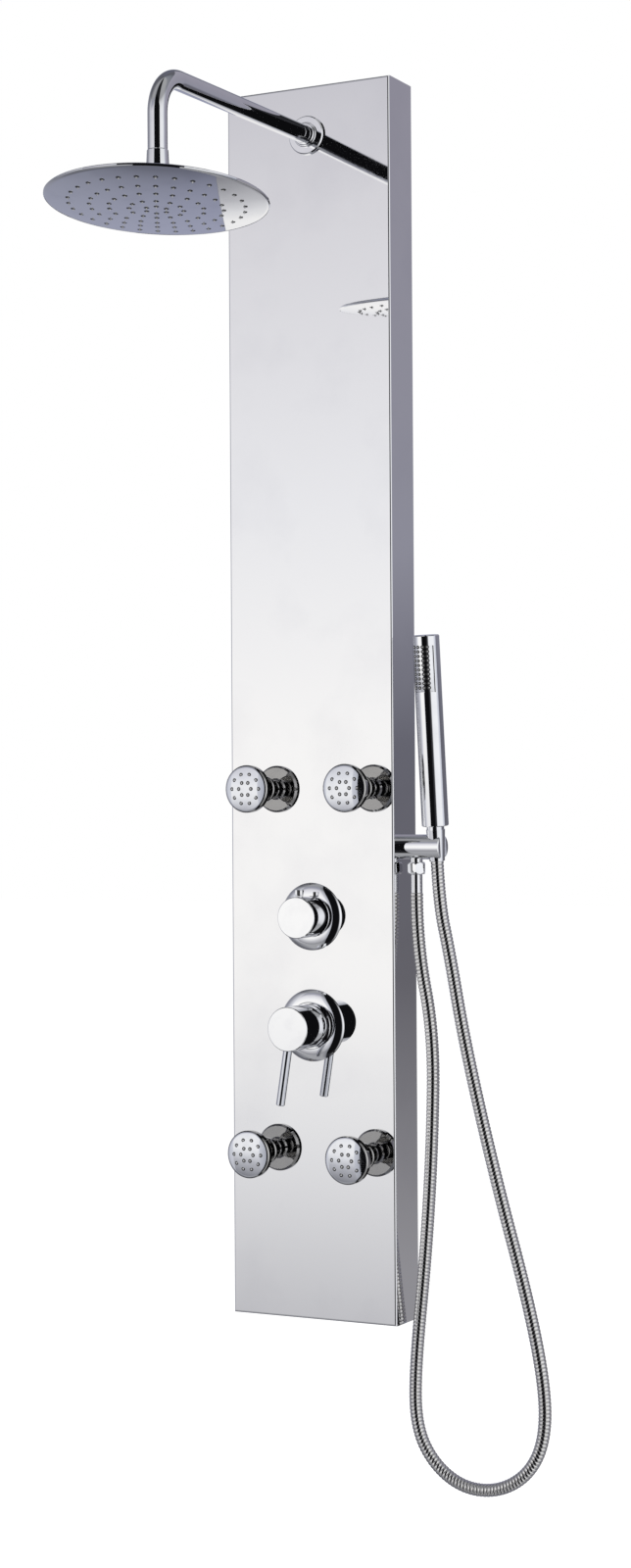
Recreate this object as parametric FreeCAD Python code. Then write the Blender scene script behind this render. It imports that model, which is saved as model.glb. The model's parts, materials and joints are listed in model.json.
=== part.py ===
import FreeCAD, Part
import math
import os

# Shower panel column, in millimetres.
# X runs to the right for someone who faces the panel, -Y points out of the wall and Z is up.
# The wall is the plane Y = 0, and Z = 0 is the line of the upper wall screws.

# ---- driving dimensions: folded tray ----
panel_width = 200.0
panel_height = 1350.0
panel_depth = 55.0
sheet = 1.2
bend_radius = 1.0
return_lip = 12.0
panel_top = 110.0

# ---- driving dimensions: wall brackets and hanger bars ----
bracket_spacing = 1130.0
bracket_width = 140.0
bracket_sheet = 2.0
bracket_drop = 22.0
screw_spacing = 100.0
screw_hole_r = 2.75
screw_slot = 12.0
hanger_height = 30.0
hanger_sheet = 3.0
hook_gap = 3.0
hook_rise = 8.0
hook_shelf_z = 8.0

# ---- driving dimensions: arm ----
arm_below_top = 54.0
arm_reach = 320.0
arm_r = 10.0
arm_wall = 1.5
arm_bend = 42.0
arm_end_below_top = 137.0
arm_tail = 22.0
arm_nut_flats = 30.0
arm_nut_height = 6.0
arm_hole_gap = 0.6
elbow_r = 13.0
elbow_back = 7.0
flange_r = 21.0
flange_height = 4.0
fit_gap = 0.05

# ---- driving dimensions: swivel and rain head ----
collar_top_r = 10.8
collar_bottom_r = 11.4
collar_length = 17.0
spigot_r = 8.4
spigot_length = 9.0
head_ball_r = 9.0
head_stem_r = 5.0
head_ball_drop = 13.0
ball_gap = 0.3
seat_thickness = 1.4
head_r = 112.5
head_rim = 3.0
head_dome = 9.0
head_drop = 20.5
head_tilt = 5.6
head_face_sheet = 1.0
nozzle_r = 1.6
nozzle_height = 1.6
nozzle_counts = (30, 24, 18, 12, 6)
nozzle_shares = (0.78, 0.59, 0.42, 0.24, 0.10)

# ---- driving dimensions: body jets ----
jet_spacing = 120.0
jets_below_top = (770.0, 1169.0)
jet_ball_out = 22.0
jet_ball_r = 6.5
jet_stem_r = 3.5
jet_neck_r = 9.5
jet_neck_length = 12.0
jet_socket_r = 10.5
jet_thread_r = 8.0
jet_thread_length = 18.0
jet_nut_flats = 24.0
jet_nut_height = 5.0
jet_head_r = 26.0
jet_back = 8.0
jet_front = 17.0
jet_nozzle_r = 1.9
jet_nozzle_height = 0.8
jet_nozzle_counts = (10, 6)
jet_nozzle_shares = (0.626, 0.29)

# ---- driving dimensions: diverter ----
diverter_below_top = 910.0
diverter_plate_r = 37.0
plate_height = 5.0
mark_width = 3.0
mark_height = 6.5
diverter_knob_r = 22.5
diverter_knob_front = 38.0
diverter_knob_rear = 8.0
diverter_bonnet_r = 15.0
valve_stem_r = 6.0
rotor_r = 8.0
valve_r = 22.0
valve_depth = 36.0
port_r = 9.0

# ---- driving dimensions: mixer ----
mixer_below_top = 1029.0
mixer_plate_r = 39.5
mixer_collar_r = 26.0
mixer_knob_r = 24.0
mixer_knob_rear = 20.0
mixer_knob_front = 59.0
mixer_knob_wall = 4.0
mixer_hub_r = 12.5
mixer_bonnet_r = 15.5
mixer_collar_top = 11.2
mixer_stem_r = 8.5
mixer_pivot_out = 26.0
mixer_pin_r = 2.5
mixer_valve_r = 24.0
lever_r = 4.8
lever_out = 51.0
lever_reach = 84.0
lever_turn = 9.0
inlet_spacing = 36.0
inlet_r = 10.4
inlet_length = 12.0

# ---- driving dimensions: hand shower, holder and hose ----
holder_below_top = 834.0
holder_depth = 27.5
holder_r = 13.5
holder_length = 46.0
holder_nut_flats = 26.0
holder_nut_height = 5.0
outlet_out = 14.0
cradle_out = 38.0
cradle_lean = 6.0
cradle_slot = 14.6
cone_top_r = 10.2
cone_bottom_r = 8.4
cone_above = 19.0
cone_below = 15.0
cone_gap = 0.3
stub_r = 6.8
stub_drop = 3.0
tail_r = 5.6
tail_length = 9.0
hose_nut_flats = 18.0
hose_nut_height = 13.0
ferrule_r = 6.4
ferrule_length = 20.2
hose_r = 7.0
hose_bore_r = 4.0
hose_groove = 0.7
hose_ribs = 90
handset_r = 14.5
handset_bottom = 23.0
handset_length = 206.0
handset_wall = 1.6
handset_cap = 8.0
handset_neck_r = 8.0
neck_collar_r = 9.4
neck_bore_r = 5.0
neck_thread = 12.0
neck_plug = 6.0
spray_half_angle = 57.0
spray_columns = 5
spray_rows = 8
spray_below_cap = 3.0
spray_length = 50.0
spray_depth = 1.2

# ---- driving dimensions: water ways inside the tray ----
pipe_r = 6.0
pipe_bore_r = 4.5
pipe_bend = 16.0
bottom_pipe_drop = 30.0
hand_pipe_r = 5.0
hand_pipe_bore_r = 3.6
tee_r = 9.0
tee_reach = 18.0
pipe_socket = 10.0
pipe_depth = 27.0
hand_pipe_wall_gap = 11.0
hand_pipe_bend = 8.0
nipple_length = 18.0

# The route of the hose from the ferrule under the outlet to the cone nut of the hand shower.
hose_route = [
    (114.0, -27.5, -773.7),
    (114.0, -27.5, -830.0),
    (132.5, -25.5, -926.0),
    (129.5, -24.0, -1040.0),
    (120.5, -22.5, -1162.0),
    (106.0, -21.5, -1288.0),
    (106.0, -21.0, -1352.0),
    (126.0, -20.5, -1391.0),
    (161.0, -20.5, -1414.0),
    (202.0, -20.0, -1414.0),
    (237.0, -20.0, -1393.0),
    (256.0, -19.5, -1357.0),
    (258.0, -19.5, -1303.0),
    (240.0, -19.0, -1213.0),
    (200.0, -18.5, -1075.0),
    (165.5, -18.0, -935.0),
    (148.2, -18.0, -838.0),
    (138.0, -20.88, -787.0),
    (138.0, -25.932, -738.918),
]

# ---- places worked out from the dimensions ----
front = -panel_depth
inner_front = front + sheet
half_width = panel_width / 2
panel_bottom = panel_top - panel_height
arm_z = panel_top - arm_below_top
arm_end_z = panel_top - arm_end_below_top
arm_drop_y = front - arm_reach
head_ball_z = arm_end_z - collar_length - head_ball_drop
diverter_z = panel_top - diverter_below_top
mixer_z = panel_top - mixer_below_top
holder_z = panel_top - holder_below_top
pipe_y = front + pipe_depth
spray_top = handset_length - handset_cap - spray_below_cap
spray_bottom = spray_top - spray_length

origin = FreeCAD.Vector(0, 0, 0)
x_axis = FreeCAD.Vector(1, 0, 0)
y_axis = FreeCAD.Vector(0, 1, 0)
z_axis = FreeCAD.Vector(0, 0, 1)
outward = FreeCAD.Vector(0, -1, 0)


def vec(x, y, z):
    return FreeCAD.Vector(x, y, z)


def export(name, *solids):
    shape = solids[0] if len(solids) == 1 else Part.makeCompound(list(solids))
    shape.exportStep("parts/" + name + ".step")


def rod(radius, length, base=origin, axis=z_axis):
    return Part.makeCylinder(radius, length, base, axis)


def pipe(radius, bore, length, base=origin, axis=z_axis):
    return rod(radius, length, base, axis).cut(rod(bore, length, base, axis))


def box(x0, x1, y0, y1, z0, z1):
    return Part.makeBox(x1 - x0, y1 - y0, z1 - z0, vec(x0, y0, z0))


def turned(profile):
    """A solid of revolution about Z from (radius, height) points."""
    points = [vec(radius, 0, height) for radius, height in profile]
    face = Part.Face(Part.makePolygon(points + points[:1]))
    return face.revolve(origin, z_axis, 360)


def hex_prism(flats, height, base_z):
    """A nut blank about Z, with its corners turned down to 30 degree chamfers."""
    corner = flats / math.sqrt(3)
    points = [vec(corner * math.cos(math.radians(60 * i)), corner * math.sin(math.radians(60 * i)), base_z)
              for i in range(6)]
    blank = Part.Face(Part.makePolygon(points + points[:1])).extrude(vec(0, 0, height))
    cut_back = corner - flats / 2
    rise = cut_back * math.tan(math.radians(30))
    round_top = turned([(0, base_z), (flats / 2, base_z), (corner, base_z + rise),
                        (corner, base_z + height - rise), (flats / 2, base_z + height), (0, base_z + height)])
    return blank.common(round_top)


def placed(shape, at, axis=z_axis, turn=0.0):
    """The shape moved so that its Z axis lies along the axis given, after a turn about Z."""
    moved = shape.copy()
    spin = FreeCAD.Placement(origin, FreeCAD.Rotation(z_axis, turn))
    lay = FreeCAD.Placement(at, FreeCAD.Rotation(z_axis, axis))
    moved.Placement = lay.multiply(spin).multiply(moved.Placement)
    return moved


def on_front(shape, x, z, turn=0.0):
    """A shape made along Z, stood on the panel's front face with Z pointing out."""
    lay = FreeCAD.Placement(vec(x, front, z), FreeCAD.Rotation(x_axis, 90))
    spin = FreeCAD.Placement(origin, FreeCAD.Rotation(z_axis, turn))
    moved = shape.copy()
    moved.Placement = lay.multiply(spin).multiply(moved.Placement)
    return moved


def rounded_path(route, share=0.45, radius=None):
    """Straight runs joined by tangent arcs, and the radii of the arcs."""
    corners = [vec(*point) for point in route]
    edges = []
    radii = []
    start = corners[0]
    for before, corner, after in zip(corners, corners[1:], corners[2:]):
        back = (before - corner).normalize()
        ahead = (after - corner).normalize()
        half_turn = (math.pi - back.getAngle(ahead)) / 2
        if radius is None:
            reach = share * min((before - corner).Length, (after - corner).Length)
        else:
            reach = radius * math.tan(half_turn)
        arc_radius = reach / math.tan(half_turn)
        enter = corner + back * reach
        leave = corner + ahead * reach
        middle_way = (back + ahead).normalize()
        middle = corner + middle_way * (arc_radius / math.cos(half_turn) - arc_radius)
        edges.append(Part.LineSegment(start, enter).toShape())
        edges.append(Part.Arc(enter, middle, leave).toShape())
        radii.append(arc_radius)
        start = leave
    edges.append(Part.LineSegment(start, corners[-1]).toShape())
    return Part.Wire(edges), radii


def bent_pipe(route, outer_r, bore_r, bend):
    """A pipe of straight lengths and bends of one radius."""
    path, radii = rounded_path(route, radius=bend)

    def solid(radius):
        lengths = []
        for edge in path.OrderedEdges:
            start = edge.valueAt(edge.FirstParameter)
            heading = edge.tangentAt(edge.FirstParameter)
            if edge.Curve.TypeId == "Part::GeomLine":
                lengths.append(rod(radius, edge.Length, start, heading))
            else:
                ring = Part.Face(Part.Wire(Part.Circle(start, heading, radius).toShape()))
                turn = math.degrees(edge.Length / bend)
                lengths.append(ring.revolve(edge.Curve.Center, edge.Curve.Axis, turn))
        return lengths[0].fuse(lengths[1:])

    return solid(outer_r).cut(solid(bore_r)).removeSplitter()


# ---------------------------------------------------------------- folded tray
def make_tray():
    outer_r = bend_radius + sheet
    outer = box(-half_width, half_width, front, 0, panel_bottom, panel_top)
    inner = box(-half_width + sheet, half_width - sheet, inner_front, 1.0,
                panel_bottom + sheet, panel_top - sheet)

    def front_edges(solid, y):
        return [edge for edge in solid.Edges
                if all(abs(vertex.Point.y - y) < 1e-6 for vertex in edge.Vertexes)]

    outer = outer.makeFillet(outer_r, front_edges(outer, front))
    inner = inner.makeFillet(bend_radius, front_edges(inner, inner_front))
    tray = outer.cut(inner)
    for side in (-1, 1):
        edge = side * half_width
        lip_inner = side * (half_width - return_lip)
        x0, x1 = sorted((edge, lip_inner))
        lip = box(x0, x1, -sheet, 0, panel_bottom + sheet, panel_top - sheet)
        tray = tray.fuse(lip)
    holes = [(0, arm_z, arm_r + arm_hole_gap), (0, diverter_z, diverter_bonnet_r + arm_hole_gap),
             (0, mixer_z, mixer_bonnet_r + arm_hole_gap)]
    holes += [(x, z, jet_thread_r + arm_hole_gap) for x, z in jet_places()]
    for x, z, r in holes:
        tray = tray.cut(rod(r, 3 * sheet, vec(x, front - sheet, z), y_axis))
    side_hole = rod(port_r + arm_hole_gap, 3 * sheet, vec(half_width - 2 * sheet, -holder_depth, holder_z), x_axis)
    return tray.cut(side_hole).removeSplitter()


def jet_places():
    return [(side * jet_spacing / 2, panel_top - below) for below in jets_below_top for side in (-1, 1)]


def make_bracket(z):
    """A pressed strip against the wall with an upturned hook along its top."""
    half = bracket_width / 2
    hanger_rear = -bracket_sheet - hook_gap
    hook_rear = hanger_rear - hanger_sheet - 1.0
    hook_front = hook_rear - bracket_sheet
    plate = box(-half, half, -bracket_sheet, 0, z - bracket_drop, z + hook_shelf_z)
    shelf = box(-half, half, hook_front, 0, z + hook_shelf_z - bracket_sheet, z + hook_shelf_z)
    hook = box(-half, half, hook_front, hook_rear, z + hook_shelf_z - bracket_sheet, z + hook_shelf_z + hook_rise)
    bracket = plate.fuse([shelf, hook])
    for side in (-1, 1):
        centre = side * screw_spacing / 2
        run = screw_slot / 2 - screw_hole_r
        slot = box(centre - run, centre + run, -2 * bracket_sheet, bracket_sheet, z - screw_hole_r, z + screw_hole_r)
        for end in (-run, run):
            slot = slot.fuse(rod(screw_hole_r, 3 * bracket_sheet, vec(centre + end, -2 * bracket_sheet, z), y_axis))
        bracket = bracket.cut(slot)
    return bracket.removeSplitter()


def make_hanger_bar(z):
    """A strip welded between the tray's sides, which drops behind the bracket's hook."""
    rear = -bracket_sheet - hook_gap
    return box(-half_width + sheet, half_width - sheet, rear - hanger_sheet, rear,
               z + hook_shelf_z, z + hook_shelf_z + hanger_height)


# ---------------------------------------------------------------- arm
def make_arm():
    tail = vec(0, front + sheet + arm_tail, arm_z)
    elbow_y = arm_drop_y + arm_bend
    elbow_z = arm_z - arm_bend

    def run(radius):
        level = rod(radius, tail.y - elbow_y, vec(0, elbow_y, arm_z), y_axis)
        ring = Part.Face(Part.Wire(Part.Circle(vec(0, elbow_y, arm_z), y_axis, radius).toShape()))
        bend = ring.revolve(vec(0, elbow_y, elbow_z), x_axis, 90)
        drop = rod(radius, elbow_z - arm_end_z, vec(0, arm_drop_y, arm_end_z))
        return level.fuse([bend, drop])

    spigot = rod(spigot_r, spigot_length + 1.0, vec(0, arm_drop_y, arm_end_z - spigot_length))
    bore = run(arm_r - arm_wall)
    spigot_bore = rod(spigot_r - arm_wall, spigot_length + 3.0, vec(0, arm_drop_y, arm_end_z - spigot_length - 1.0))
    bottom_wall = rod(arm_r, 2.0, vec(0, arm_drop_y, arm_end_z))
    return run(arm_r).cut(bore).fuse([spigot, bottom_wall]).cut(spigot_bore).removeSplitter()


def make_arm_flange():
    bore = arm_r + fit_gap
    step = flange_height * 0.4
    profile = [(bore, 0), (flange_r, 0), (flange_r, flange_height - 1.2), (flange_r - 1.2, flange_height),
               (13.6, flange_height), (13.6, flange_height + step), (12.9, flange_height + step + 0.7),
               (12.2, flange_height + step + 0.7), (12.2, flange_height + 2 * step + 0.7),
               (11.4, flange_height + 2 * step + 1.5), (bore, flange_height + 2 * step + 1.5)]
    return on_front(turned(profile), 0, arm_z)


def make_arm_nut():
    nut = hex_prism(arm_nut_flats, arm_nut_height, 0).cut(rod(arm_r + fit_gap, arm_nut_height))
    return placed(nut, vec(0, inner_front, arm_z), y_axis)


def make_arm_elbow():
    """The brass elbow that turns the riser into the arm's tail, blind behind it."""
    cup_start = inner_front + 8.0
    tail_end = inner_front + arm_tail
    foot_length = elbow_r + pipe_socket
    foot_base = vec(0, pipe_y, arm_z - foot_length)
    body = rod(elbow_r, pipe_y + elbow_back - cup_start, vec(0, cup_start, arm_z), y_axis)
    foot = rod(tee_r, foot_length, foot_base)
    cup = rod(arm_r + fit_gap, tail_end - cup_start, vec(0, cup_start, arm_z), y_axis)
    chamber = rod(elbow_r - 5.0, pipe_y + elbow_back - 3.0 - tail_end, vec(0, tail_end, arm_z), y_axis)
    socket = rod(pipe_r + fit_gap, pipe_socket, foot_base)
    way = rod(pipe_bore_r, foot_length, foot_base)
    return body.fuse(foot).cut([cup, chamber, socket, way]).removeSplitter()


# ---------------------------------------------------------------- ball joints
def slice_of_ball(radius, low, high):
    """The slice of a ball about the origin between two heights."""
    return Part.makeSphere(radius).common(rod(2 * radius, high - low, vec(0, 0, low)))


def ball_ring(outer_r, inner_r, low, high):
    """A ring between two spheres about the origin, cut off at two heights."""
    return slice_of_ball(outer_r, low, high).cut(Part.makeSphere(inner_r)).removeSplitter()


def make_head_collar():
    """The nut on the arm's end with its stem and ball, drawn about the ball's centre."""
    top = head_ball_drop + collar_length
    neck = head_ball_drop - 2.0
    outside = turned([(0, 0), (head_stem_r, 0), (head_stem_r, neck), (8.5, head_ball_drop),
                      (collar_bottom_r, head_ball_drop + 1.0), (collar_bottom_r, head_ball_drop + 3.0),
                      (collar_top_r, top - 0.8), (collar_top_r - 0.6, top), (0, top)])
    body = outside.fuse(Part.makeSphere(head_ball_r))
    recess = rod(spigot_r + fit_gap, spigot_length, vec(0, 0, top - spigot_length))
    way = rod(2.6, top + 2 * head_ball_r, vec(0, 0, -2 * head_ball_r))
    return body.cut(recess).cut(way).removeSplitter()


seat_inner = head_ball_r + ball_gap
seat_outer = seat_inner + seat_thickness
cup_r = seat_outer + ball_gap
boss_r = cup_r + 2.5


def make_head_shell():
    """The domed back of the rain head with the cup for the ball on top, about the ball's centre."""
    rim_top = -head_drop + head_rim / 2
    dome_top = rim_top + head_dome
    inside = head_face_sheet
    outer = [(0, rim_top - head_rim + inside), (head_r - 0.9, rim_top - head_rim + inside),
             (head_r - 0.9, rim_top - head_rim), (head_r, rim_top - head_rim + 0.9), (head_r, rim_top - 0.9),
             (head_r - 0.9, rim_top), (head_r * 0.72, rim_top + head_dome * 0.42),
             (head_r * 0.42, rim_top + head_dome * 0.78), (boss_r + 3.0, dome_top), (boss_r, dome_top + 2.0),
             (boss_r, 0.3), (0, 0.3)]
    chamber = [(0, rim_top - head_rim + inside), (head_r - 6.0, rim_top - head_rim + inside),
               (head_r - 6.0, rim_top - 1.0), (head_r * 0.72, rim_top + head_dome * 0.42 - 1.6),
               (head_r * 0.42, rim_top + head_dome * 0.78 - 1.6), (boss_r, dome_top - 1.8), (0, dome_top - 1.8)]
    shell = turned(outer).cut(turned(chamber))
    cup = Part.makeSphere(cup_r)
    way = rod(5.5, head_drop, vec(0, 0, -head_drop))
    return shell.cut(cup).cut(way).removeSplitter()


def make_socket_nut():
    """The ring nut round the cup, whose inner sphere keeps the ball in."""
    bore = boss_r + fit_gap
    outer_r = boss_r + 2.6
    blank = turned([(0, -6.0), (outer_r, -6.0), (outer_r, 2.4), (outer_r - 3.0, 5.0), (0, 5.0)])
    thread = rod(bore, 6.3, vec(0, 0, -6.0))
    grooves = [placed(rod(0.8, 7.0, vec(outer_r + 0.2, 0, -5.0)), origin, z_axis, 15 * i) for i in range(24)]
    return blank.cut(thread).cut(Part.makeSphere(seat_inner)).cut(grooves).removeSplitter()


def nozzle_places(counts, shares, radius):
    for count, share in zip(counts, shares):
        for i in range(count):
            angle = 2 * math.pi * i / count
            yield share * radius * math.cos(angle), share * radius * math.sin(angle)


def pip(radius, height, x, y, z):
    """A small six-sided nozzle."""
    points = [vec(x + radius * math.cos(math.radians(60 * i)), y + radius * math.sin(math.radians(60 * i)), z)
              for i in range(6)]
    return Part.Face(Part.makePolygon(points + points[:1])).extrude(vec(0, 0, height))


def make_head_face():
    bottom = -head_drop - head_rim / 2
    return rod(head_r - 0.9 - fit_gap, head_face_sheet, vec(0, 0, bottom))


def make_head_nozzles():
    bottom = -head_drop - head_rim / 2
    return [pip(nozzle_r, nozzle_height, x, y, bottom - nozzle_height)
            for x, y in nozzle_places(nozzle_counts, nozzle_shares, head_r)]


# ---------------------------------------------------------------- body jets
jet_seat_inner = jet_ball_r + ball_gap
jet_seat_outer = jet_seat_inner + 1.1
jet_cup_r = jet_seat_outer + ball_gap


def make_jet_base():
    """Flange, grooved neck, stem and ball in front of the panel and the thread behind it."""
    profile = [(0, -jet_thread_length - sheet), (jet_thread_r, -jet_thread_length - sheet), (jet_thread_r, 0),
               (jet_neck_r + 5.5, 0), (jet_neck_r + 5.5, 1.4), (jet_neck_r + 4.5, 2.4), (jet_neck_r, 2.4)]
    for groove in range(3):
        start = 3.6 + 2.8 * groove
        profile += [(jet_neck_r, start), (jet_neck_r - 0.9, start + 0.5), (jet_neck_r - 0.9, start + 1.1),
                    (jet_neck_r, start + 1.6)]
    profile += [(jet_neck_r, jet_neck_length - 0.8), (jet_neck_r - 0.8, jet_neck_length),
                (jet_stem_r, jet_neck_length), (jet_stem_r, jet_ball_out), (0, jet_ball_out)]
    body = turned(profile).fuse(Part.makeSphere(jet_ball_r, vec(0, 0, jet_ball_out)))
    way = rod(2.2, jet_thread_length + sheet + jet_ball_out + jet_ball_r,
              vec(0, 0, -jet_thread_length - sheet))
    return body.cut(way).removeSplitter()


def make_jet_head():
    """The mushroom head about the ball's centre, with the cup behind and a recess for the face in front."""
    rear = -4.0
    outer = turned([(0, rear), (jet_socket_r - 0.8, rear), (jet_socket_r, rear + 0.8), (jet_socket_r, jet_back - 1.5),
                    (jet_socket_r + 1.5, jet_back), (jet_head_r - 2.2, jet_back), (jet_head_r, jet_back + 2.2),
                    (jet_head_r, jet_front - 1.4), (jet_head_r - 1.4, jet_front), (0, jet_front)])
    cup = slice_of_ball(jet_cup_r, -0.2, jet_cup_r)
    mouth = Part.makeSphere(jet_seat_inner)
    way = rod(4.6, jet_front)
    chamber = rod(jet_head_r - 6.0, 4.0, vec(0, 0, jet_back + 2.0))
    recess = rod(jet_head_r - 2.6, jet_front, vec(0, 0, jet_back + 6.0))
    return outer.cut(cup).cut(mouth).cut(way).cut(chamber).cut(recess).removeSplitter()


def make_jet_face():
    low = jet_back + 6.0
    disc = rod(jet_head_r - 2.6 - fit_gap, jet_front - low, vec(0, 0, low))
    pips = [pip(jet_nozzle_r, jet_nozzle_height + 1.0, x, y, jet_front - 1.0)
            for x, y in nozzle_places(jet_nozzle_counts, jet_nozzle_shares, jet_head_r)]
    return disc.fuse(pips).removeSplitter()


def make_jet_nut():
    rear = -sheet - jet_nut_height
    nut = hex_prism(jet_nut_flats, jet_nut_height, rear)
    return nut.cut(rod(jet_thread_r + fit_gap, jet_nut_height, vec(0, 0, rear)))


def make_jet_tee():
    """The brass tee on the jet's thread: a branch along Z and a socket up and down along Y."""
    depth = -pipe_depth
    branch_start = -sheet - 7.0
    body = rod(jet_thread_r + 2.5, branch_start - depth, vec(0, 0, depth))
    run = rod(tee_r, 2 * tee_reach, vec(0, -tee_reach, depth), y_axis)
    tee = body.fuse(run)
    tee = tee.cut(rod(jet_thread_r + fit_gap, 12.0, vec(0, 0, branch_start - 12.0)))
    tee = tee.cut(rod(pipe_bore_r, branch_start - depth, vec(0, 0, depth)))
    tee = tee.cut(rod(pipe_bore_r, 2 * tee_reach - 6.0, vec(0, -tee_reach + 3.0, depth), y_axis))
    for side in (-1, 1):
        socket = rod(pipe_r + fit_gap, pipe_socket, vec(0, side * tee_reach, depth), y_axis * -side)
        tee = tee.cut(socket)
    return tee.removeSplitter()


# ---------------------------------------------------------------- diverter
def plate_profile(radius, bore):
    """A cover plate with a rounded edge and a slightly crowned face."""
    return [(bore, 0), (radius, 0), (radius, plate_height - 2.6), (radius - 0.6, plate_height - 1.5),
            (radius - 1.6, plate_height - 0.8), (radius - 3.4, plate_height - 0.4), (radius * 0.6, plate_height),
            (bore, plate_height)]


def make_diverter_plate():
    plate = turned(plate_profile(diverter_plate_r, diverter_bonnet_r + fit_gap))
    for x, width, height in ((-17.5, mark_width, mark_height), (-12.0, mark_width, mark_height), (4.5, 6.0, 4.5)):
        mark = Part.makeBox(width, height, 1.6, vec(x, diverter_knob_r + 1.5, plate_height - 1.2))
        plate = plate.fuse(mark)
    return on_front(plate.removeSplitter(), 0, diverter_z)


def make_valve(radius, bonnet_r, bonnet_out, bore_r, ports):
    """A brass valve body behind the sheet with a bonnet through it and pipe sockets round it."""
    valve = rod(radius, valve_depth, vec(0, 0, -sheet - valve_depth))
    valve = valve.fuse(rod(bonnet_r, bonnet_out + sheet + 1.0, vec(0, 0, -sheet - 1.0)))
    ways = [rod(bore_r + fit_gap, valve_depth + bonnet_out, vec(0, 0, -valve_depth + 6.0))]
    for angle, pipe_radius, bore in ports:
        way = vec(math.cos(math.radians(angle)), math.sin(math.radians(angle)), 0)
        centre = vec(0, 0, -pipe_depth)
        valve = valve.fuse(rod(port_r, radius + pipe_socket, centre, way))
        ways.append(rod(pipe_radius + fit_gap, pipe_socket, centre + way * radius, way))
        ways.append(rod(bore, radius, centre, way))
    return valve.cut(ways).removeSplitter()


def make_diverter_valve():
    ports = [(90, pipe_r, pipe_bore_r), (180, pipe_r, pipe_bore_r), (270, pipe_r, pipe_bore_r),
             (0, hand_pipe_r, hand_pipe_bore_r)]
    valve = make_valve(valve_r, diverter_bonnet_r, diverter_knob_rear - 1.0, rotor_r, ports)
    return on_front(valve, 0, diverter_z)


def make_mixer_valve():
    """The mixing valve with its outlet on top and the hot and cold inlets side by side below."""
    valve = make_valve(mixer_valve_r, mixer_bonnet_r, mixer_collar_top, mixer_stem_r,
                       [(90, pipe_r, pipe_bore_r)])
    down = vec(0, -1, 0)
    start = mixer_valve_r + 2.0
    for side in (-1, 1):
        centre = vec(side * inlet_spacing / 2, -6.0, -pipe_depth)
        valve = valve.fuse(rod(inlet_r + 1.1, start - 6.0, centre, down))
        valve = valve.fuse(rod(inlet_r, start - 6.0 + inlet_length, centre, down))
        valve = valve.cut(rod(inlet_r - 3.4, start - 6.0 + inlet_length, centre, down))
    return on_front(valve.removeSplitter(), 0, mixer_z)


def make_diverter_spindle():
    """The stem that the knob turns, with the rotor that opens one way at a time."""
    rotor_top = -sheet - 2.0
    stem_top = diverter_knob_front - 8.0
    stem = rod(valve_stem_r, stem_top - rotor_top, vec(0, 0, rotor_top))
    rotor = rod(rotor_r, valve_depth - 8.0 + rotor_top, vec(0, 0, -valve_depth + 8.0))
    notch = box(2.0, 12.0, -12.0, 12.0, -pipe_depth - 4.5, -pipe_depth + 4.5)
    flat = box(valve_stem_r - 1.2, valve_stem_r + 2, -valve_stem_r, valve_stem_r, stem_top - 12.0, stem_top)
    return on_front(rotor.fuse(stem).cut(notch).cut(flat).removeSplitter(), 0, diverter_z)


def make_diverter_knob():
    rear = diverter_knob_rear
    outer = turned([(0, rear), (diverter_knob_r - 0.8, rear), (diverter_knob_r, rear + 0.8),
                    (diverter_knob_r, diverter_knob_front - 0.8), (diverter_knob_r - 0.8, diverter_knob_front),
                    (0, diverter_knob_front)])
    hollow = rod(diverter_knob_r - 3.0, 16.0, vec(0, 0, rear))
    stem_top = diverter_knob_front - 8.0
    socket = rod(valve_stem_r + fit_gap, stem_top - rear, vec(0, 0, rear))
    flat = box(valve_stem_r - 1.2 + fit_gap, valve_stem_r + 2, -valve_stem_r, valve_stem_r, stem_top - 12.0, stem_top)
    socket = socket.cut(flat)
    return on_front(outer.cut(hollow).cut(socket).removeSplitter(), 0, diverter_z)


# ---------------------------------------------------------------- mixer
def make_mixer_plate():
    return on_front(turned(plate_profile(mixer_plate_r, mixer_bonnet_r + fit_gap)), 0, mixer_z)


def make_mixer_collar():
    """The stepped dome between the plate and the handle."""
    bore = mixer_bonnet_r + fit_gap
    collar = turned([(bore, plate_height), (mixer_collar_r, plate_height), (mixer_collar_r, 7.6),
                     (mixer_collar_r - 0.8, 8.2), (mixer_collar_r - 2.2, 8.2), (mixer_collar_r - 2.2, 9.4),
                     (mixer_collar_r - 3.4, 10.2), (mixer_collar_r - 5.6, 10.8), (bore, mixer_collar_top)])
    return on_front(collar, 0, mixer_z)


def make_mixer_spindle():
    """The turning stem of the cartridge with two ears and the pin that the handle tilts on."""
    hub_start = mixer_collar_top + 0.8
    stem = rod(mixer_stem_r, valve_depth - 8.0 + hub_start, vec(0, 0, -valve_depth + 8.0))
    body = stem.fuse(rod(mixer_hub_r, mixer_knob_rear - hub_start, vec(0, 0, hub_start)))
    for x0 in (-9.0, 5.0):
        ear = box(x0, x0 + 4.0, -5.0, 5.0, mixer_knob_rear - 1.0, mixer_pivot_out)
        body = body.fuse([ear, rod(5.0, 4.0, vec(x0, 0, mixer_pivot_out), x_axis)])
    body = body.fuse(rod(mixer_pin_r, 18.0, vec(-9.0, 0, mixer_pivot_out), x_axis))
    body = body.cut(box(-6.0, 6.0, 2.0, 12.0, -pipe_depth - 4.5, -pipe_depth + 4.5))
    return on_front(body.removeSplitter(), 0, mixer_z, -lever_turn)


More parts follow.
